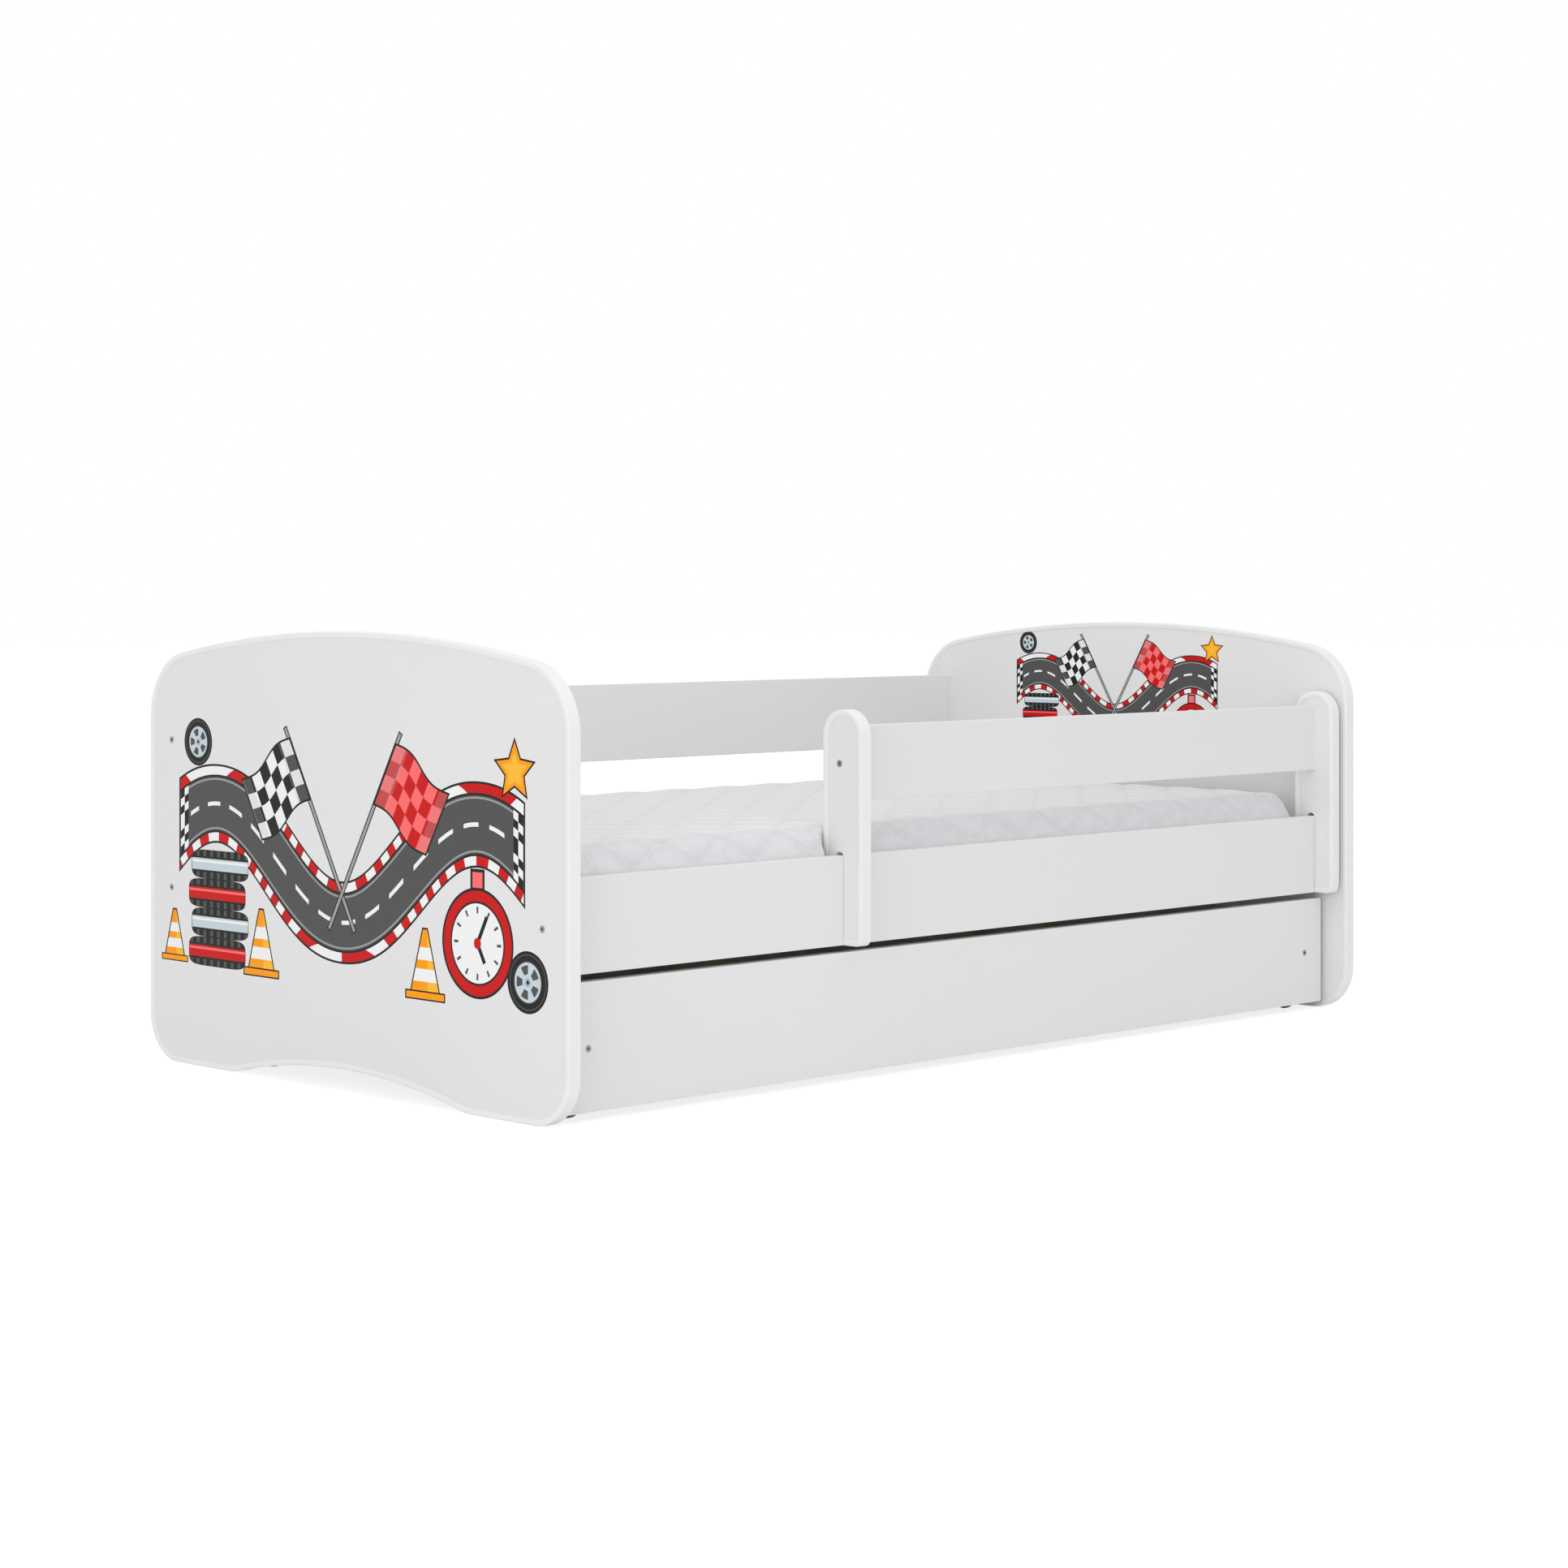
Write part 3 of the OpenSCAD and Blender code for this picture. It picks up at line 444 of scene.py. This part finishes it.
# The picture's middle on each board, in millimetres, and its scale
footboard_board = laminate("footboard_laminate", (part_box("footboard")[0].x, (-7.0, 317.0), 1.0))
headboard_board = laminate("headboard_laminate", (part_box("headboard")[0].x, (-21.0, 502.0), 0.58))
white_board = laminate("white_laminate")
edging_finish = soft_edging()
pine_along_x = pine("pine_along_the_bed", 1.4, 34.0, 34.0)
pine_along_y = pine("pine_across_the_bed", 34.0, 1.4, 34.0)
zinc = steel("bright_zinc", srgb(196, 198, 200), srgb(222, 224, 226), 0.25)
nickel = steel("dull_nickel", srgb(168, 152, 152), srgb(190, 174, 174), 0.35)
tape_cloth = woven("slat_tape", srgb(206, 202, 190), srgb(232, 229, 220), 0.0016, 0.0002)
foam = woven("cut_foam", srgb(226, 214, 170), srgb(240, 232, 196), 0.0031, 0.0004)
wheel_plastic = moulded("wheel_plastic", srgb(34, 34, 36), srgb(48, 48, 50))
cover_cloth = quilting()

finished_nodes = [
    (footboard_board, ["footboard"]),
    (headboard_board, ["headboard"]),
    (white_board, ["front_rail", "rear_lower_rail", "rear_upper_rail",
                   "guard_board", "guard_left_post", "guard_right_post",
                   "drawer_front", "drawer_left_side", "drawer_right_side", "drawer_back",
                   "drawer_divider"]),
    (edging_finish, ["footboard_edging", "headboard_edging", "guard_left_edging", "guard_right_edging"]),
    (pine_along_x, ["front_slat_batten", "rear_slat_batten", "rail_dowels", "guard_dowels"]),
    (pine_along_y, ["slats", "drawer_dowels"]),
    (zinc, ["batten_screws", "slat_screws", "castor_brackets", "castor_screws", "castor_axles"]),
    (nickel, ["rail_screws", "guard_screws", "drawer_front_screws", "drawer_back_screws"]),
    (hardboard(), ["drawer_left_bottom", "drawer_right_bottom"]),
    (tape_cloth, ["slat_tapes"]),
    (cover_cloth, ["mattress_cover"]),
    (foam, ["mattress_core"]),
    (wheel_plastic, ["front_left_wheel", "front_right_wheel", "rear_left_wheel", "rear_right_wheel"]),
]
for material, names in finished_nodes:
    for name in names:
        mesh = nodes[name].data
        mesh.materials.clear()
        mesh.materials.append(material)

# ---- Modelling ----


def deselect():
    if bpy.context.object and bpy.context.object.mode == "EDIT":
        bpy.ops.object.mode_set(mode="OBJECT")
    bpy.ops.object.select_all(action="DESELECT")


def pick_up(piece):
    """Makes a piece the only one that is selected, and the active one."""
    deselect()
    piece.select_set(True)
    bpy.context.view_layer.objects.active = piece


def select(kind, test):
    """In edit mode, selects the vertices or faces whose place passes a test."""
    bpy.ops.mesh.select_all(action="DESELECT")
    bpy.ops.mesh.select_mode(type={"vertices": "VERT", "polygons": "FACE"}[kind])
    bpy.ops.object.mode_set(mode="OBJECT")
    for part in getattr(bpy.context.object.data, kind):
        part.select = test(part.co if kind == "vertices" else part.center, part)
    bpy.ops.object.mode_set(mode="EDIT")


def select_rim():
    """In edit mode, selects the open edges."""
    bpy.ops.mesh.select_mode(type="EDGE")
    bpy.ops.mesh.select_all(action="DESELECT")
    bpy.ops.mesh.select_non_manifold()


def copied(piece, shift):
    """A copy with its own mesh, moved by a shift."""
    twin = piece.copy()
    twin.data = piece.data.copy()
    bpy.context.collection.objects.link(twin)
    twin.location = shift
    return twin


SMOOTH_ANGLE = radians(34)


def settle(piece, name, body, slot_name, material, *replaced):
    """Names and finishes a piece and makes it ride on its body."""
    piece.name = piece.data.name = name
    pick_up(piece)
    bpy.ops.object.transform_apply(location=True, rotation=True, scale=True)
    bpy.ops.object.shade_smooth_by_angle(angle=SMOOTH_ANGLE)
    piece.data.materials.clear()
    piece.data.materials.append(material)
    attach(piece, body)
    if replaced:
        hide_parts(*replaced)
    deselect()


# ---- Soft edging, in metres ----

BOARD_T = 0.018
LIP_T = 0.001
LIP_REACH = 0.008
LIP_R = 0.0006
EDGING_WEB = 0.003
EDGING_R = 0.0045
EDGING_W = BOARD_T + 2 * LIP_T
OUTER = EDGING_W * 0.49
LONGEST_STEP = 0.012
WIDEST_STEP = 7


def edging_section(y, z):
    """Draws the edging's hooked section under an edge that faces down, ready to be drawn along y."""
    deselect()
    bpy.ops.mesh.primitive_grid_add(x_subdivisions=3, y_subdivisions=2, size=1,
                                    location=(0, y, z + LIP_REACH / 2), rotation=(pi / 2, 0, 0))
    bpy.context.object.scale = (EDGING_W, LIP_REACH, 1)
    bpy.ops.object.transform_apply(location=True, rotation=True, scale=True)
    bpy.ops.object.mode_set(mode="EDIT")
    select("vertices", lambda p, _: abs(p.x) < EDGING_W / 4)
    bpy.ops.transform.resize(value=(3 * BOARD_T / EDGING_W, 1, 1), center_override=(0, y, z))
    select("vertices", lambda p, _: abs(p.z - z - LIP_REACH / 2) < LIP_T / 2)
    bpy.ops.transform.translate(value=(0, 0, EDGING_WEB - LIP_REACH / 2))
    select("polygons", lambda p, _: abs(p.x) < LIP_T and p.z > z + EDGING_WEB)
    bpy.ops.mesh.delete(type="FACE")
    bpy.ops.mesh.select_all(action="SELECT")
    bpy.ops.mesh.dissolve_faces()
    select("vertices", lambda p, _: abs(p.x) > OUTER and p.z < z + LIP_T)
    bpy.ops.mesh.bevel(offset=EDGING_R, segments=7, affect="VERTICES")
    select("vertices", lambda p, _: abs(p.x) > OUTER and p.z > z + LIP_REACH - LIP_T / 2)
    bpy.ops.mesh.bevel(offset=LIP_R, segments=2, affect="VERTICES")
    bpy.ops.mesh.select_all(action="SELECT")


def draw_along(start, moves):
    """Draws the selected section along a path in the upright plane, from a start (y, z). A move is a
    straight run to (y, z), or an arc about (y, z) through an angle in degrees, anticlockwise."""
    y, z = start
    for move in moves:
        if len(move) == 3:
            centre_y, centre_z, turn = move
            angle = radians(turn)
            radius = hypot(y - centre_y, z - centre_z)
            steps = max(2, ceil(abs(angle) * radius / LONGEST_STEP), ceil(abs(turn) / WIDEST_STEP))
            # Spin counts its angle the other way round
            bpy.ops.mesh.spin(steps=steps, angle=-angle, center=(0, centre_y, centre_z), axis=(1, 0, 0))
            away = complex(y - centre_y, z - centre_z) * complex(cos(angle), sin(angle))
            y, z = centre_y + away.real, centre_z + away.imag
        else:
            step = (0, move[0] - y, move[1] - z)
            bpy.ops.mesh.extrude_region_move(TRANSFORM_OT_translate={"value": step})
            y, z = move


def close_edging():
    """Turns the finished edging's faces outwards and leaves edit mode."""
    bpy.ops.mesh.select_all(action="SELECT")
    bpy.ops.mesh.normals_make_consistent(inside=False)
    bpy.ops.object.mode_set(mode="OBJECT")
    return bpy.context.object


def settle_pair(piece, body, places):
    """Settles an edging and a copy of it at their places along the bed."""
    pair = [piece, copied(piece, (0, 0, 0))]
    for edging, (owner, x) in zip(pair, places):
        edging.location = (x, 0, 0)
        settle(edging, owner + "_soft_edging", body, "white_edging", edging_finish, owner + "_edging")


# The end boards' outline
BED_HALF = 0.462
BOARD_H = 0.624
ARCH_R = 2.2
SHOULDER_R = 0.095
FOOT_R = 0.068
CUTOUT_R = 1.13
CUTOUT_RISE = 0.03
BLEND_R = 0.14
MERGE = 0.00002
FOOTBOARD_X = -0.834
HEADBOARD_X = 0.834
arch_z = BOARD_H - ARCH_R
shoulder_y = BED_HALF - SHOULDER_R
shoulder_turn = acos(shoulder_y / (ARCH_R - SHOULDER_R))
shoulder_z = arch_z + (ARCH_R - SHOULDER_R) * sin(shoulder_turn)
shoulder_turn = degrees(shoulder_turn)
foot_y = BED_HALF - FOOT_R
blend_turn = 90 - degrees(asin((BLEND_R + CUTOUT_R - CUTOUT_RISE) / (CUTOUT_R + BLEND_R)))
blend_y = (CUTOUT_R + BLEND_R) * sin(radians(blend_turn))

edging_section(foot_y, 0)
draw_along((foot_y, 0), [
    (foot_y, FOOT_R, 90),
    (BED_HALF, shoulder_z),
    (shoulder_y, shoulder_z, shoulder_turn),
    (0, arch_z, 180 - 2 * shoulder_turn),
    (-shoulder_y, shoulder_z, shoulder_turn),
    (-BED_HALF, FOOT_R),
    (-foot_y, FOOT_R, 90),
    (-blend_y, 0),
    (-blend_y, BLEND_R, blend_turn),
    (0, CUTOUT_RISE - CUTOUT_R, -2 * blend_turn),
    (blend_y, BLEND_R, blend_turn),
    (foot_y, 0),
])
select("polygons", lambda p, face: len(face.vertices) > 4)
bpy.ops.mesh.delete(type="ONLY_FACE")
bpy.ops.mesh.select_all(action="SELECT")
bpy.ops.mesh.remove_doubles(threshold=MERGE)
settle_pair(close_edging(), "frame", [("footboard", FOOTBOARD_X), ("headboard", HEADBOARD_X)])

# The guard posts' outline
POST_FRONT = -0.452
POST_BACK = -0.378
POST_TOP = 0.515
SLOT_FRONT = -0.4175
SLOT_BACK = -0.4005
INNER_LEG_Z = 0.266
RAIL_Z = 0.189
TOE_H = 0.022
TOE_R = 0.07
POST_CORNER_R = 0.009
GUARD_LEFT_X = -0.2925
GUARD_RIGHT_X = 0.8085
post_r = (POST_BACK - POST_FRONT) / 2
post_mid = POST_FRONT + post_r
corner_y = POST_BACK - POST_CORNER_R
toe_turn = asin((TOE_H - POST_CORNER_R) / (TOE_R - POST_CORNER_R))
toe_corner_y = POST_FRONT + TOE_R - (TOE_R - POST_CORNER_R) * cos(toe_turn)
toe_turn = degrees(toe_turn)

edging_section(SLOT_BACK, INNER_LEG_Z)
draw_along((SLOT_BACK, INNER_LEG_Z), [
    (corner_y, INNER_LEG_Z),
    (corner_y, INNER_LEG_Z + POST_CORNER_R, 90),
    (POST_BACK, POST_TOP - post_r),
    (post_mid, POST_TOP - post_r, 180),
    (POST_FRONT, RAIL_Z + TOE_H),
    (POST_FRONT + TOE_R, RAIL_Z + TOE_H, toe_turn),
    (toe_corner_y, RAIL_Z + POST_CORNER_R, 90 - toe_turn),
    (SLOT_FRONT, RAIL_Z),
])
settle_pair(close_edging(), "guard", [("guard_left", GUARD_LEFT_X), ("guard_right", GUARD_RIGHT_X)])

# ---- Quilted mattress, in metres ----

MATTRESS_L = 1.6
MATTRESS_W = 0.8
MATTRESS_H = 0.09
MATTRESS_X = -0.007
MATTRESS_Z = 0.2623
CROWN = 0.006
SHOULDER_IN = 0.028
SHOULDER_DOWN = 0.044
SHOULDER_BULGE = 1.5
BASE_ROUND = 0.012
CORNER_ROUND = 0.045
GRID_ALONG = 144
GRID_ACROSS = 72
SHOULDER_POINTS = 7
WALL_RINGS = 3
BASE_POINTS = 3

# Stitches
DIAMONDS_ALONG = 14
DIAMONDS_ACROSS = 8
WAVE = 1.06
BORDER_WAVE = 1.3
WAVE_START = 0.01
WAVE_LEAD = -0.0025
WAVE_RATE = 0.794
STITCH_FAR = 0.02
BORDER_LINE = 0.07
BORDER_FADE = 0.02

# Padding
PUFF = 0.0034
PUFF_STEPS = 20
PUFF_PRESSURE = 12.0
PUFF_FULL = 90
HOLD = 0.003
HOLD_FADE = 0.008
CREASE = 0.0012
CREASE_REACH = 0.007

# The dent that the guard post's inner leg presses into the front
DENT_GAP = 0.0016
DENT_SIDE = 0.005
DENT_FLARE = 0.009

MILLIMETRE = 0.001
TINY = 1e-6


def read(mesh, attribute):
    """The vertices' places or normals, a row for each."""
    rows = np.empty(len(mesh.vertices) * 3)
    mesh.vertices.foreach_get(attribute, rows)
    return rows.reshape(-1, 3)


def write(mesh, rows):
    mesh.vertices.foreach_set("co", rows.ravel())
    mesh.update()


def save(mesh, name, *columns):
    """Keeps three numbers for each vertex in an attribute."""
    kept = mesh.attributes.new(name, "FLOAT_VECTOR", "POINT")
    kept.data.foreach_set("vector", np.column_stack(columns).ravel())


# Section from the top's rim down to the base: how far in and how far down
quarter = pi / 2
profile = [(SHOULDER_IN * (1 - sin(a) ** SHOULDER_BULGE), SHOULDER_DOWN * (1 - cos(a) ** SHOULDER_BULGE))
           for a in np.linspace(0, quarter, SHOULDER_POINTS)]
wall = MATTRESS_H - BASE_ROUND - SHOULDER_DOWN
profile += [(0, SHOULDER_DOWN + wall * k / WALL_RINGS) for k in range(1, WALL_RINGS + 1)]
profile += [(BASE_ROUND * (1 - cos(a)), MATTRESS_H - BASE_ROUND * (1 - sin(a)))
            for a in np.linspace(0, quarter, BASE_POINTS)[1:]]

# A flat top, drawn down ring by ring and left open below
deselect()
top_z = MATTRESS_Z + MATTRESS_H
bpy.ops.mesh.primitive_grid_add(x_subdivisions=GRID_ALONG, y_subdivisions=GRID_ACROSS, size=1,
                                location=(MATTRESS_X, 0, top_z))
mattress = bpy.context.object
cover = mattress.data
mattress.scale = (MATTRESS_L - 2 * SHOULDER_IN, MATTRESS_W - 2 * SHOULDER_IN, 1)
bpy.ops.object.transform_apply(location=True, rotation=True, scale=True)
bpy.ops.object.mode_set(mode="EDIT")
select_rim()
for (inset, depth), (next_inset, next_depth) in zip(profile, profile[1:]):
    bpy.ops.mesh.extrude_region_move(TRANSFORM_OT_translate={"value": (0, 0, depth - next_depth)})
    grow = [(side / 2 - next_inset) / (side / 2 - inset) for side in (MATTRESS_L, MATTRESS_W)]
    bpy.ops.transform.resize(value=(*grow, 1), center_override=(MATTRESS_X, 0, top_z))
bpy.ops.object.mode_set(mode="OBJECT")

places = read(cover, "co")
half = np.array([MATTRESS_L / 2, MATTRESS_W / 2])
flat = places[:, :2] - [MATTRESS_X, 0]
down = np.clip(top_z - places[:, 2], 0, None)
insets, downs = np.array(profile).T
arcs = np.concatenate([[0], np.cumsum(np.hypot(np.diff(insets), np.diff(downs)))])
arc = np.interp(down, downs, arcs)
room = SHOULDER_IN - np.interp(down, downs, insets)


def phase(along, limit, count):
    """Stitching phase across the cover: even over the top, and on down the border along its section."""
    start = limit - SHOULDER_IN
    past = np.clip((np.abs(along) - start) / np.maximum(room, TINY), 0, 1)
    run = np.clip(np.abs(along), 0, start) + past * arc * WAVE_RATE
    return np.sign(along) * np.minimum(run / (start + WAVE_LEAD) * count / 2, (count + 1) / 2)


def stitch_distance(u, v, down):
    """How far a point lies from the nearest stitch, less than nothing on the stitch's other side."""
    past = np.clip(np.interp(down, downs, arcs) / WAVE_START, 0, 1)
    swing = WAVE + (BORDER_WAVE - WAVE) * past
    wave = np.cos(2 * pi * u) + swing * np.cos(2 * pi * v)
    steep = 2 * pi * np.hypot(np.sin(2 * pi * u) * DIAMONDS_ALONG / MATTRESS_L,
                              swing * np.sin(2 * pi * v) * DIAMONDS_ACROSS / MATTRESS_W)
    return np.clip(wave / np.maximum(steep, TINY), -STITCH_FAR, STITCH_FAR)


u = phase(flat[:, 0], half[0], DIAMONDS_ALONG)
v = phase(flat[:, 1], half[1], DIAMONDS_ACROSS)

# Round corners in plan, and a crown over the middle
corner = half - CORNER_ROUND
beyond = np.abs(flat) - corner
turning = (beyond > 0).all(axis=1)
reach = np.hypot(beyond[:, 0], beyond[:, 1])
squeeze = np.where(turning, beyond.max(axis=1) / np.maximum(reach, TINY), 1.0)
flat = np.where(turning[:, None], np.sign(flat) * (corner + beyond * squeeze[:, None]), flat)
crowned = (1 - np.clip(np.abs(flat) / half, 0, 1) ** 4).prod(axis=1)
lift = CROWN * crowned * (down < MILLIMETRE)
full = np.column_stack([flat[:, 0] + MATTRESS_X, flat[:, 1], places[:, 2] + lift])
write(cover, full)
outward = read(cover, "normal")
loose = down < MATTRESS_H - BASE_ROUND - MILLIMETRE
sewn = full - outward * (PUFF * loose)[:, None]
away = np.abs(stitch_distance(u, v, down))

# The padding swells between the stitches, which are held
write(cover, sewn)
swelling = copied(mattress, (0, 0, 0))
held = swelling.vertex_groups.new(name="held")
grip = np.where(loose, np.clip(1 - (away - HOLD) / HOLD_FADE, 0, 1), 1.0)
for k in np.flatnonzero(grip > 0.01):
    held.add([int(k)], float(grip[k]), "REPLACE")
padding = swelling.modifiers.new("padding", "CLOTH")
padding.settings.vertex_group_mass = held.name
padding.settings.use_pressure = True
padding.settings.uniform_pressure_force = PUFF_PRESSURE
padding.settings.effector_weights.gravity = 0
padding.collision_settings.use_collision = False
for step in range(1, PUFF_STEPS + 1):
    bpy.context.scene.frame_set(step)
pick_up(swelling)
bpy.ops.object.modifier_apply(modifier=padding.name)
shift = read(swelling.data, "co") - sewn
risen = (shift * outward).sum(axis=1)
capped = PUFF * np.tanh(np.clip(risen, 0, None) / np.percentile(risen, PUFF_FULL))
moved = sewn + shift * (capped / np.maximum(risen, 1e-9) * loose)[:, None]
bpy.data.objects.remove(swelling)
bpy.context.scene.frame_set(1)

# One subdivision, then the base is closed
write(cover, moved)
save(cover, "phases", u, v, down)
pick_up(mattress)
bpy.ops.object.modifier_apply(modifier=mattress.modifiers.new("finer", "SUBSURF").name)
fine = np.empty(len(cover.vertices) * 3)
cover.attributes["phases"].data.foreach_get("vector", fine)
u, v, down = fine.reshape(-1, 3).T
cover.attributes.remove(cover.attributes["phases"])
bpy.ops.object.mode_set(mode="EDIT")
select_rim()
bpy.ops.mesh.edge_face_add()
bpy.ops.object.mode_set(mode="OBJECT")

# The stitches' own narrow creases, and the post's dent
from_stitch = stitch_distance(u, v, down)
crease = (1 - np.clip(np.abs(from_stitch) / CREASE_REACH, 0, 1)) ** 2
sunk = CREASE * crease * (down < MATTRESS_H - BASE_ROUND)
moved = read(cover, "co") - read(cover, "normal") * sunk[:, None]
dent_back = POST_BACK + DENT_GAP
dent_half = EDGING_W / 2 + DENT_SIDE + DENT_FLARE * np.clip(down / SHOULDER_DOWN, 0, 1)
dented = (np.abs(moved[:, 0] - GUARD_LEFT_X) < dent_half) & (moved[:, 1] < dent_back)
moved[:, 1] = np.where(dented, dent_back, moved[:, 1])
write(cover, moved)

past_border = np.maximum(np.abs(u) - DIAMONDS_ALONG / 2, np.abs(v) - DIAMONDS_ACROSS / 2)
border = np.clip((past_border + BORDER_LINE) / BORDER_FADE, 0, 1)
# Which diagonal slant each point's stitch follows; the cover's shader paints wider shade along one slant
one_way, other_way = np.abs(np.cos(pi * (u + v))), np.abs(np.cos(pi * (u - v)))
slant = other_way / np.maximum(one_way + other_way, TINY)
save(cover, "stitching", from_stitch, border, slant)
cover.update()
settle(mattress, "quilted_mattress", "mattress", "quilted_cloth", cover_cloth,
       "mattress_cover", "mattress_core")

# ---- Floor, light and camera ----

WHITE_LIGHT = (1, 1, 1, 1)
SEEN_RAYS = ("Is Camera Ray", "Is Glossy Ray", "Is Transmission Ray")

# The floor looks pale to the camera and keeps the bed's shadow
deselect()
bpy.ops.mesh.primitive_plane_add(size=60, location=(0, 0, 0))
floor = bpy.context.object
floor.name = "floor"
ground = Finish("plain_floor", Roughness=0.9)
ground.shader.inputs["Base Color"].default_value = (0.86, 0.86, 0.86, 1)
rays = [ground.node("LightPath", output=ray) for ray in SEEN_RAYS]
glow = ground.node("Emission", {"Color": WHITE_LIGHT, "Strength": 0.82})
shaded = ground.node("BsdfDiffuse", {"Color": (0.3, 0.3, 0.3, 1)})
pale = ground.node("AddShader", [glow, shaded])
plain = Value(ground, ground.shader.outputs[0])
shown = ground.node("MixShader", [rays[0] | rays[1] | rays[2], plain, pale])
ground.tree.links.new(shown.socket, ground.tree.nodes["Material Output"].inputs["Surface"])
floor.data.materials.append(ground.material)

# The world lights the bed softly and looks white
world = bpy.data.worlds.new("studio")
bpy.context.scene.world = world
world.use_nodes = True
tree = world.node_tree
sky = tree.nodes["Background"]
backdrop = tree.nodes.new("ShaderNodeBackground")
for background, strength in ((sky, 0.71), (backdrop, 1.0)):
    background.inputs["Color"].default_value = WHITE_LIGHT
    background.inputs["Strength"].default_value = strength
path = tree.nodes.new("ShaderNodeLightPath")
seen = path.outputs[SEEN_RAYS[0]]
for ray in SEEN_RAYS[1:]:
    most = tree.nodes.new("ShaderNodeMath")
    most.operation = "MAXIMUM"
    tree.links.new(seen, most.inputs[0])
    tree.links.new(path.outputs[ray], most.inputs[1])
    seen = most.outputs[0]
either = tree.nodes.new("ShaderNodeMixShader")
for k, source in enumerate((seen, sky.outputs[0], backdrop.outputs[0])):
    tree.links.new(source, either.inputs[k])
tree.links.new(either.outputs[0], tree.nodes["World Output"].inputs["Surface"])


def softbox(name, place, power, target):
    """A broad lamp at a place, turned towards a target."""
    light = bpy.data.lights.new(name, "AREA")
    light.size = 3.0
    light.energy = power
    lamp = bpy.data.objects.new(name, light)
    lamp.location = place
    lamp.rotation_mode = "QUATERNION"
    lamp.rotation_quaternion = (Vector(target) - Vector(place)).to_track_quat("-Z", "Y")
    bpy.context.collection.objects.link(lamp)


softbox("foot_side_softbox", (-5.4, -2.4, 1.5), 51, (-0.84, 0, 0.3))
softbox("front_softbox", (-2.4, -6.0, 0.9), 51, (0, -0.4, 0.3))
softbox("overhead_softbox", (-0.6, -0.6, 4.2), 38, (0, 0, 0.3))

# The camera, as solved from the photograph's vanishing points
PHOTO = 1932
FOCAL_PX = 3992.5
HORIZON_PX = 723.57
CAMERA_TURN = 45.015
SENSOR = 36
camera_data = bpy.data.cameras.new("camera")
camera_data.sensor_width = SENSOR
camera_data.lens = SENSOR * FOCAL_PX / PHOTO
camera_data.shift_y = (HORIZON_PX - PHOTO / 2) / PHOTO
camera = bpy.data.objects.new("camera", camera_data)
camera.location = (-3.5268, -3.5274, 0.6841)
camera.rotation_euler = (pi / 2, 0, radians(CAMERA_TURN - 90))
bpy.context.collection.objects.link(camera)
bpy.context.scene.camera = camera
bpy.context.scene.view_settings.view_transform = "Standard"
